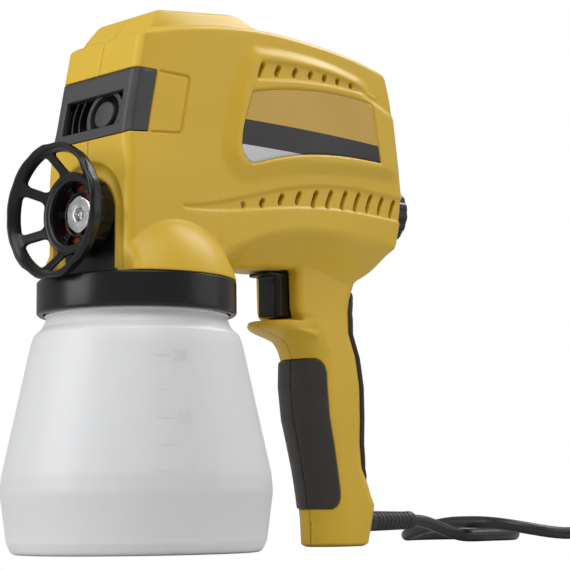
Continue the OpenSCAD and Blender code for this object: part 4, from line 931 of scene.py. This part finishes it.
def shell_halves(x, y, z, raised, slots, vented):
    """The left half's field, and the right half's (mirrored) with its screw wells."""
    plain, body = body_field(x, y, z), body_field(x, y, z, raised)
    dome, hump = dome_field(x, y, z), hump_field(x, y, z)
    upper = both(join(join(body, dome, 0.7), hump, 1.2), FLOOR_Z - z, 0.5)
    core = join(join(plain, dome, 2.5), hump, 2)
    handle, turn = handle_parts(x, y, z)
    handle = both(both(handle, -z, 1.6), z - 138, 1)
    lip = lip_field(x, y, z)
    grip = join(handle, lip, 2)
    outer = join(upper, grip, 2)
    for zone in (grip_zone, rear_zone):
        outer = cut(outer, np.maximum(zone(z, turn) - 0.25, -(handle + 1.25)), 0.35)
    # front: arch for the pump, pocket for the panel, fine line round its side field
    arch = arch_field(y, z)
    outer = cut(outer, np.maximum(arch - PUMP_ARCH_R, 7 - x), 0.3)
    outer = cut(outer, hyp(arch - COVE_R, x - FRONT_X - 1) - 3.4, 0.9)
    rim = both(np.abs(arch - 17.35) - 0.95, np.abs(x - 27.2) - 0.4, 0.15)
    outer = join(outer, np.maximum(rim, FLOOR_Z + 2 - z), 0.3)
    outer = cut(outer, panel_band(x, y, z, 0.18), 0.3)
    ahead, up = panel_place(x, z)
    ring = np.abs(panel_side(ahead, up, PANEL_WRAP + FIELD_LEN, 0, 1.8)) - 0.5
    ring = np.maximum(ring, ahead + PANEL_WRAP + 1.3)
    side = y - side_of(x, z)
    outer = cut(outer, np.maximum(ring, -(side + 0.95)), 0.1)
    pocket = np.maximum(rod_field(y, z, KNOB_Z, KNOB_POCKET_R), x - KNOB_POCKET_X)
    outer = cut(outer, pocket, 0.4)
    # hollow, but for the front wall round the pump and a backing for the vents to be cut in
    hollow = both(join(core, grip, 6) + WALL, 122.0 - z, 1)
    hollow_grip = both(join(handle, lip, 5) + WALL, z - 136, 1)
    hollow = join(hollow, hollow_grip, 3)
    hollow = np.maximum(hollow, -np.maximum(arch - 26, 20 - x))
    shell = np.maximum(outer, -hollow)
    backing = np.maximum(vented - 0.5, np.abs(side + 3.2) - 1.8)
    backing = np.maximum(backing, np.maximum(x - BACKING_FRONT, BACKING_REAR - x))
    shell = cut(np.minimum(shell, backing), np.maximum(slots, -(side + 6)), 0.3)
    # openings: trigger, knob's spindle, lead, jar's seat
    for opening, r in ((box_field(x, y, z, (-110.5, -9, 110.2), (-86.5, 7.7, 134), 0.8), 0.5),
                       (np.maximum(rod_field(y, z, KNOB_Z, 7.1), x + 150), 0.5),
                       (np.maximum(rod_field(y, z, CORD_Z, 5.3), x + 138), 0.5),
                       (np.maximum(np.maximum(hyp(x, y) - JAR_SEAT_R, z - 128), x - 22), 0.4)):
        shell = cut(shell, opening, r)
    seam = 0.1 - y
    left = both(shell, seam, 0.25)
    for sx, sz, deep in SCREWS:
        well = np.maximum(hyp(x - sx, z - sz) - 4, deep - y)
        shell = cut(shell, well, 0.5)
    return left, both(shell, seam, 0.25)


def add_shells():
    """Both halves of the housing, as hollow mouldings, worked out slab by slab to save memory."""
    g = Grid((-170.8, -1.2, -1.2), (31.4, 46.8, 252.6), 0.45)
    heights, slots, vented = side_map(g.x[:, 0, :], g.z[:, 0, :])
    maps = g.blur(heights, 0.35), slots, vented
    left, right = np.empty(g.shape, np.float32), np.empty(g.shape, np.float32)
    for start in range(0, g.shape[0], 32):
        slab = slice(start, start + 32)
        cuts = shell_halves(g.x[slab], g.y, g.z, *(m[slab, None, :] for m in maps))
        left[slab], right[slab] = cuts
    g.piece("left_shell", left, "yellow_plastic", "housing", "left_housing_shell", adapt=0.02)
    del left
    g.piece("right_shell", right, "yellow_plastic", "housing", "right_housing_shell", adapt=0.02,
            mirror=True)


def label_grid(sign):
    """The bare label, bent to the housing's side."""
    low, high = runs(LABEL_LOW, 16), runs(LABEL_HIGH, 16)
    xs = np.unique(np.concatenate([np.linspace(-140.6, -37.1, 122), [-134.9, -134.6, -44.3, -44.1]]))
    rows = 26
    points = []
    for level, inset in ((0.92, 0.0), (1.62, 0.0), (1.72, 0.12)):
        layer = []
        for x in xs:
            a = np.interp(x, low[:, 0], low[:, 1]) + 0.35 + inset
            b = np.interp(x, high[:, 0], high[:, 1]) - 0.35 - inset
            for k in range(rows):
                z = a + (b - a) * k / (rows - 1)
                s = float(unraked(np.float32(x), np.float32(z)))
                layer.append((x, sign * (float(plan_half(s)) + level), z))
        points.append(layer)
    n, flat = len(xs), [p for layer in points for p in layer]
    size = n * rows
    faces = []
    for layer in (0, 2):
        for i in range(n - 1):
            for k in range(rows - 1):
                a = layer * size + i * rows + k
                quad = (a, a + rows, a + rows + 1, a + 1)
                faces.append(quad if layer else quad[::-1])
    rim = [i * rows for i in range(n)] + [(n - 1) * rows + k for k in range(1, rows)]
    rim += [i * rows + rows - 1 for i in range(n - 2, -1, -1)] + [k for k in range(rows - 2, 0, -1)]
    for layer in (0, 1):
        for a, b in zip(rim, rim[1:] + rim[:1]):
            low, high = layer * size, (layer + 1) * size
            faces.append((low + a, low + b, high + b, high + a))
    used = {v for f in faces for v in f}
    names = {v: i for i, v in enumerate(sorted(used))}
    flat = [flat[v] for v in sorted(used)]
    return flat, [tuple(names[v] for v in f) for f in faces]


def add_labels():
    for sign, name in ((1, "left_label_plate"), (-1, "right_label_plate")):
        points, faces = label_grid(sign)
        obj = outward(add_mesh(name.replace("_plate", ""), points, faces, 50))
        dress(obj, "label_film", "housing", name)


def add_grips():
    """Soft inlays that stand just proud of the handle."""
    g, x, y, z = grid((-153.6, -1.2, 16), (-93, 19.6, 127), 0.4)
    handle, turn = handle_parts(x, y, z)
    front = both(handle - 1.0, grip_zone(z, turn), 1.1)
    front = np.maximum(front, -(handle + 1.0))
    half = both(front, 0.12 - y, 0.4)
    g.piece("left_inlay", half, "soft_grip", "housing", "left_grip")
    g.piece("right_inlay", half, "soft_grip", "housing", "right_grip", mirror=True)
    g, x, y, z = grid((-154.2, -19.2, 29), (-120, 19.2, 129), 0.45)
    handle, turn = handle_parts(x, y, z)
    rear = both(handle - 2.5, rear_zone(z, turn), 1.4)
    rear = np.maximum(rear, -(handle + 1.0))
    g.piece("rear_inlay", rear, "soft_grip", "housing", "rear_grip")


WINDOW, WINDOW_UP = (38.6, 16.0), 13.2
DISC_Y = 6.3


def add_panel():
    """The grey front panel, round three sides of the housing, with its window."""
    g, x, y, z = grid((10.8, -30.0, 177.6), (31.2, 30.0, 214.2), 0.34)
    outside = body_field(x, np.abs(y), z) - 0.1
    ahead, up = panel_place(x, z)
    panel = np.maximum(outside, panel_band(x, y, z))
    panel = both(panel, panel_side(ahead, up, PANEL_WRAP, 0, 0.4), 0.5)
    window = both(np.abs(y) - WINDOW[0] / 2, np.abs(up - WINDOW_UP) - WINDOW[1] / 2, 0.7)
    panel = cut(panel, window, 0.45)
    g.piece("front_panel_cover", panel, "panel_grey", "housing", "front_panel")


def add_insert():
    """Concentric ribs round a rough disc, on a plate behind the panel's window."""
    g, x, y, z = grid((12.5, -21.4, 179.5), (28.4, 21.4, 206.5), 0.3)
    ahead, up = panel_place(x, z)
    ahead = ahead + 1.5
    r = hyp(y - DISC_Y, up - WINDOW_UP + 1.2)
    block = np.maximum(np.abs(y) - WINDOW[0] / 2, np.abs(up - WINDOW_UP) - WINDOW[1] / 2)
    tray = both(block - 1.2, np.maximum(ahead + 1.6, -6.6 - ahead), 0.3)
    tray = cut(tray, np.maximum(block, -5 - ahead), 0.2)
    for middle in (17.7, 22.4):
        rib = both(np.abs(r - middle) - 0.5, ahead + 0.9, 0.25)
        tray = np.minimum(tray, np.maximum(rib, np.maximum(block - 0.1, -5.2 - ahead)))
    ribs = both(np.abs(r - 10.6) - 1.1, ahead + 0.3, 0.25)
    disc = both(r - 6.3, ahead - 0.2 + (r / 26) ** 2 * 6, 0.7)
    ribs = np.maximum(np.minimum(ribs, disc), np.maximum(block + 0.05, -5.2 - ahead))
    g.piece("insert_tray", tray, "black_plastic", "housing", "grille_insert")
    g.piece("insert_ribs", ribs, "panel_grey", "housing")


# ---- nozzle, guard, jar, knob, trigger ------------------------------------------------------------


def around_x(y, z, count, first, centre=NOZZLE_Z):
    """Radius and folded angle (radians) about the spraying axis, for what repeats round it."""
    r = hyp(y, z - centre)
    a = np.arctan2(-y, z - centre) - math.radians(first)
    step = 2 * math.pi / count
    return r, (a + step / 2) % step - step / 2


def add_guard():
    """The dished guard: hub, seven spokes, scalloped rim and the nozzle's seat."""
    step = 0.34
    g, x, y, z = grid((26.6, -31.4, NOZZLE_Z - 31.4), (52.4, 31.4, NOZZLE_Z + 31.4), step)
    hub_in, hub_out, back, front = 14, 17.2, 27.7, 38.5
    rim, rim_front, rim_back = 30.1, 51, 45
    r, a = around_x(y, z, 7, 36.5)
    line = [(hub_in, back), (hub_out, back), (hub_out, front - 2), (rim - 4, rim_back + 0.4),
            (rim - 1.2, rim_back), (rim, rim_front - 1.6), (rim - 1.2, rim_front), (rim - 2, rim_front),
            (rim - 3, rim_front - 1.2), (rim - 4.3, rim_back + 2), (hub_out, front), (hub_in + 0.3, front),
            (hub_in, front - 0.3)]
    body = g.blur(outline_field(r + 0 * x, x + 0 * r, line), 0.42) - 0.1
    _, ribs = around_x(y, z, 12, 15)
    u, v = r * np.cos(ribs), r * np.sin(ribs)
    rib = box_field(x, u, v, (back + 1, 15, -1.2), (back + 7.5, hub_out + 0.9, 1.2), 0.4)
    body = join(body, rib, 0.5)
    half = math.pi / 7
    gap = both(2.4 - r * np.sin(half - np.abs(a)), r - (rim - 4.4), 1.8)
    gap = both(gap, hub_out + 0.9 - r, 1.8)
    body = cut(body, gap, 0.6)
    _, a = around_x(y, z, 12, 0)
    dip = 14.8 - hyp(r * np.cos(a) - rim - 14, r * np.sin(a))
    body = both(body, dip, 1.0)
    seat = both(np.abs(r - 9.8) - 0.5, np.abs(x - 32.05) - 1.15, 0.3)
    _, a = around_x(y, z, 7, 32)
    web = box_field(x, r * np.cos(a), r * np.sin(a), (30.9, 9.8, -1.8), (33.2, 14.6, 1.8), 0.3)
    body = join(body, join(seat, web, 0.4), 0.3)
    g.piece("spray_guard", body, "black_plastic", "guard", "nozzle_guard")


def add_tip():
    """The hexagonal nozzle, chamfered and turned to a shallow face."""
    g, x, y, z = grid((19.6, -9.6, NOZZLE_Z - 9.6), (34.8, 9.6, NOZZLE_Z + 9.6), 0.26)
    r, a = around_x(y, z, 6, 30)
    body = both(r * np.cos(a) - 7.794, np.abs(x - 32.3) - 1.7, 0.25)
    body = both(body, (r - 8.1 - 0.9 * (34 - x)) * 0.743, 0.25)
    body = join(body, both(r - 6, np.abs(x - 26) - 5.6, 0.3), 0.3)
    body = cut(body, np.maximum(r - 2.3 - 0.3 * (x - 32), 31.4 - x), 0.25)
    nipple = cut(both(r - 1.35, np.abs(x - 31.6) - 1.6, 0.3), np.maximum(r - 0.5, 31 - x), 0.1)
    body = np.minimum(body, nipple)
    g.piece("nozzle_hexagon", body, "nickel", "nozzle", "nozzle_tip", "nozzle_jet")


def add_collar():
    c_in, c_out, low, top, seat = 41.7, 44.6, 104.5, COLLAR_TOP, 112.6
    profile = rounded([(c_in, low + 2, 0), (c_in, low, 0.9), (c_out, low, 1.6), (c_out, top, 1.1),
                       (34, top, 0.4), (34, seat + 3.5, 0.2), (39.7, seat + 3.5, 0.2),
                       (39.7, seat + 0.4, 0.2), (c_in, seat + 0.4, 0.2), (c_in, low + 2.1, 0)], 5)
    dress(lathe("union_collar", profile, 160), "black_plastic", "housing", "jar_collar")


def jar_radius(z):
    """The jar's outside between its base and its shoulder."""
    return float(np.interp(z, [34, 90.5], [59.4, 47.3]))


def add_jar():
    """The blown bottle, with the marks that stand out of its wall."""
    neck, mouth = 40.4, 110.8
    thread = [(neck + out, low + up, 0.2) for low in (103.6, 107.6)
              for out, up in ((0, 0), (0.9, 0.5), (0, 1.2))]
    outside = rounded([(0, 2.6, 0), (30, 2, 8), (46, 0.2, 6), (50.5, 0, 2), (54.8, 0, 3.4), (57.2, 5.2, 5),
                       (60, 26.5, 14), (59.4, 34, 14), (47.3, 90.5, 5), (45.7, 95.6, 3.4),
                       (42.4, 98.4, 2.6), (41, 101.2, 2), (neck, 103, 1), *thread, (neck, mouth, 0.4),
                       (neck - 1.6, mouth, 0)], 6)
    inside = rounded([(neck - 1.6, mouth, 0), (neck - 1.6, 99, 2), (43.8, 95.6, 3), (45.6, 89.6, 4),
                      (57.9, 33, 12), (58.4, 26.5, 12), (55.4, 6.5, 5), (50, 2.4, 4), (0, 4.2, 0)], 6)
    jar = lathe("paint_bottle", outside + inside[1:], 192, smooth_deg=60)
    dress(jar, "milky_plastic", "jar", "paint_jar")
    # lines of (angle, height): level marks, then the strokes of the numbers beside them
    lines = [[(math.radians(a), z) for a in np.linspace(57, 65, 9)] for z in (83.1, 68.8, 56.9, 45.6, 34.8)]
    oval = [(0.5 + 0.5 * math.sin(t), 0.5 + 0.5 * math.cos(t)) for t in np.linspace(0, 2 * math.pi, 17)]
    digits = {"0": [oval], "1": [[(0.3, 0.78), (0.6, 1), (0.6, 0)]],
              "2": [[(0, 0.76), (0.12, 0.93), (0.5, 1), (0.88, 0.93), (1, 0.74), (0.86, 0.52), (0.1, 0.1),
                     (0, 0), (1, 0)]],
              "8": [[(u * 0.84 + 0.08, 0.54 + v * 0.46) for u, v in oval],
                    [(u, v * 0.54) for u, v in oval]]}
    for z, word in ((83.1, "28"), (56.9, "20"), (34.8, "12")):
        r = jar_radius(z)
        for i, digit in enumerate(word):
            for stroke in digits[digit]:
                lines.append([(math.radians(66.6) + (3.6 * i + 2.6 * u) / r, z - 2.4 + 4.8 * v)
                              for u, v in stroke])
    sunk = [[((jar_radius(z) - 0.09) * math.cos(a), (jar_radius(z) - 0.09) * math.sin(a), z)
             for a, z in line] for line in lines]
    strokes = add_tube("strokes", sunk, 0.2, 2)
    graph = bpy.context.evaluated_depsgraph_get()
    mesh = bpy.data.meshes.new_from_object(strokes.evaluated_get(graph))
    marks = bpy.data.objects.new("jar_marks", mesh)
    bpy.data.objects.remove(strokes)
    bpy.context.collection.objects.link(marks)
    marks.data.shade_smooth()
    dress(marks, "milky_plastic", "jar")
    marks.data.materials[0] = MATERIALS["milky_marks"]


def add_knob():
    g, x, y, z = grid((-174.6, -17.6, KNOB_Z - 17.6), (-162.6, 17.6, KNOB_Z + 17.6), 0.3)
    r, a = around_x(y, z, 18, 0, KNOB_Z)
    body = both(r - 15.9, x + 163.3, 0.5)
    body = both(body, hyp(r, x + 95.7) - 78, 1.8)
    rib = box_field(x, r * np.cos(a), r * np.sin(a), (-171, 13, -1.3), (-164, 16.2, 1.3), 0.6)
    body = join(body, rib, 1.2)
    body = cut(body, np.maximum(r - 3.03, -169.6 - x), 0.1)
    g.piece("flow_knob", body, "black_plastic", "knob", "volume_knob")


def add_trigger():
    g, x, y, z = grid((-100.3, -8.1, 109.8), (-76.3, 8.1, 132.2), 0.26)
    body = box_field(x, y, z, (-99.5, -7.3, 110.6), (-83.2, 7.3, 130.2), 0.5)
    body = both(body, (x + 83.2 + np.abs(y) - 7.3 + 1.7) * 0.7071, 0.4)
    flange = both(box_field(x, y, z, (-99.5, -7.3, 129.8), (-74.2, 7.3, 131.3), 0.4),
                  np.sqrt((x + 83.4) ** 2 + y * y * 0.9) - 8.4 + np.minimum(0, x + 83.4) * 4, 0.6)
    body = join(body, flange, 1.2)
    body = cut(body, np.maximum(np.abs(np.abs(y) - 5.0) - 0.22, -83.45 - x), 0.1)
    body = cut(body, np.maximum(hyp(y, z - 115.6) - 3.6, x + 95.5), 0.2)
    g.piece("trigger_button", body, "black_plastic", "trigger", "trigger")


def add_plug():
    """A moulded plug lying flat by the coil."""
    g = Grid((PLUG_X - 13.2, PLUG_Y - PLUG_W / 2 - 0.8, -0.7),
             (PLUG_X + PLUG_L + 0.8, PLUG_Y + PLUG_W / 2 + 0.8, PLUG_H + 0.8), 0.5)
    x, y, z = g.x - PLUG_X, g.y - PLUG_Y, g.z - PLUG_H / 2
    line = [(0, -7), (5, -8.6), (13, -13), (22, -16.6), (24, -PLUG_W / 2), (PLUG_L, -PLUG_W / 2)]
    line += [(u, -v) for u, v in line[::-1]]
    flat = outline_field(x[:, :, 0], y[:, :, 0], line)[:, :, None]
    body = both(flat, np.abs(z) - PLUG_H / 2, 3.2)
    body = both(body, np.abs(z) - 4.2 - 0.19 * np.maximum(x + 2, 0), 1.5)
    nose = both(hyp(y, z) - 4.4 - (x + 12) / 13, np.abs(x + 5) - 7, 0.6)
    body = join(body, nose, 2.5)
    body = cut(body, np.maximum(hyp(y, z) - CORD_R - 0.02, x - 6), 0.1)
    for side in (-1, 1):
        pin = hyp(y - side * PIN_PITCH / 2, z) - PIN_R + 0.38
        body = cut(body, np.maximum(pin, PLUG_L - 12 - x), 0)
    return g.piece("plug_moulding", body, "rubber_black", "housing", "plug_body")


add_labels()
add_grips()
add_panel()
add_insert()
add_guard()
add_tip()
add_collar()
add_jar()
add_knob()
add_trigger()
add_strain_relief()
plug = add_plug()
lead, lead_length = add_lead()
add_shells()
finish_nodes()

# ---- floor, light and world ---------------------------------------------------------------------


def add_light(name, place, target, size, power):
    data = bpy.data.lights.new(name, "AREA")
    data.shape = "RECTANGLE"
    data.size, data.size_y = size
    data.energy = power
    lamp = bpy.data.objects.new(name, data)
    lamp.location = place
    lamp.rotation_euler = (Vector(target) - Vector(place)).to_track_quat("-Z", "Y").to_euler()
    bpy.context.collection.objects.link(lamp)
    return lamp


def add_floor():
    """A sheet of paper that looks as bright as what is behind it."""
    mesh = bpy.data.meshes.new("floor")
    bm = bmesh.new()
    bmesh.ops.create_circle(bm, cap_ends=True, segments=96, radius=6.0)
    bm.to_mesh(mesh)
    bm.free()
    floor = bpy.data.objects.new("floor", mesh)
    bpy.context.collection.objects.link(floor)
    s = Shader("floor_paper", (0.6, 0.6, 0.6), 0.7)
    s.bsdf.inputs["Specular IOR Level"].default_value = 0.1
    seen = s.node("ShaderNodeLightPath").outputs["Is Camera Ray"]
    glow = s.node("ShaderNodeEmission", {"Color": (1, 1, 1, 1), "Strength": 1.0})
    blend = s.node("ShaderNodeMixShader", {0: seen, 1: s.bsdf.outputs[0], 2: glow.outputs[0]})
    out = next(n for n in s.tree.nodes if n.type == "OUTPUT_MATERIAL")
    s.tree.links.new(blend.outputs[0], out.inputs["Surface"])
    mesh.materials.append(s.mat)
    return floor


def add_world():
    world = bpy.data.worlds.new("studio")
    world.use_nodes = True
    tree = world.node_tree
    tree.nodes["Background"].inputs["Color"].default_value = (1, 1, 1, 1)
    seen = tree.nodes.new("ShaderNodeLightPath")
    bright = tree.nodes.new("ShaderNodeMapRange")
    bright.inputs["To Min"].default_value = 0.33
    bright.inputs["To Max"].default_value = 1.0
    tree.links.new(seen.outputs["Is Camera Ray"], bright.inputs["Value"])
    tree.links.new(bright.outputs[0], tree.nodes["Background"].inputs["Strength"])
    bpy.context.scene.world = world


add_world()
lights = [
    add_light("front", (1.15, -0.45, 0.6), (0, 0, 0.12), (0.75, 1.1), 8),
    add_light("top", (0.5, 0.7, 1.4), (-0.04, 0, 0.14), (1.0, 1.0), 9),
    add_light("rear", (-1.1, 0.1, 1.32), (-0.04, 0, 0.14), (0.75, 0.75), 10),
    add_light("side", (-0.95, 1.0, 0.45), (-0.04, 0, 0.12), (1.0, 0.8), 1.8),
]
add_floor()

bpy.context.scene.view_settings.view_transform = "Standard"
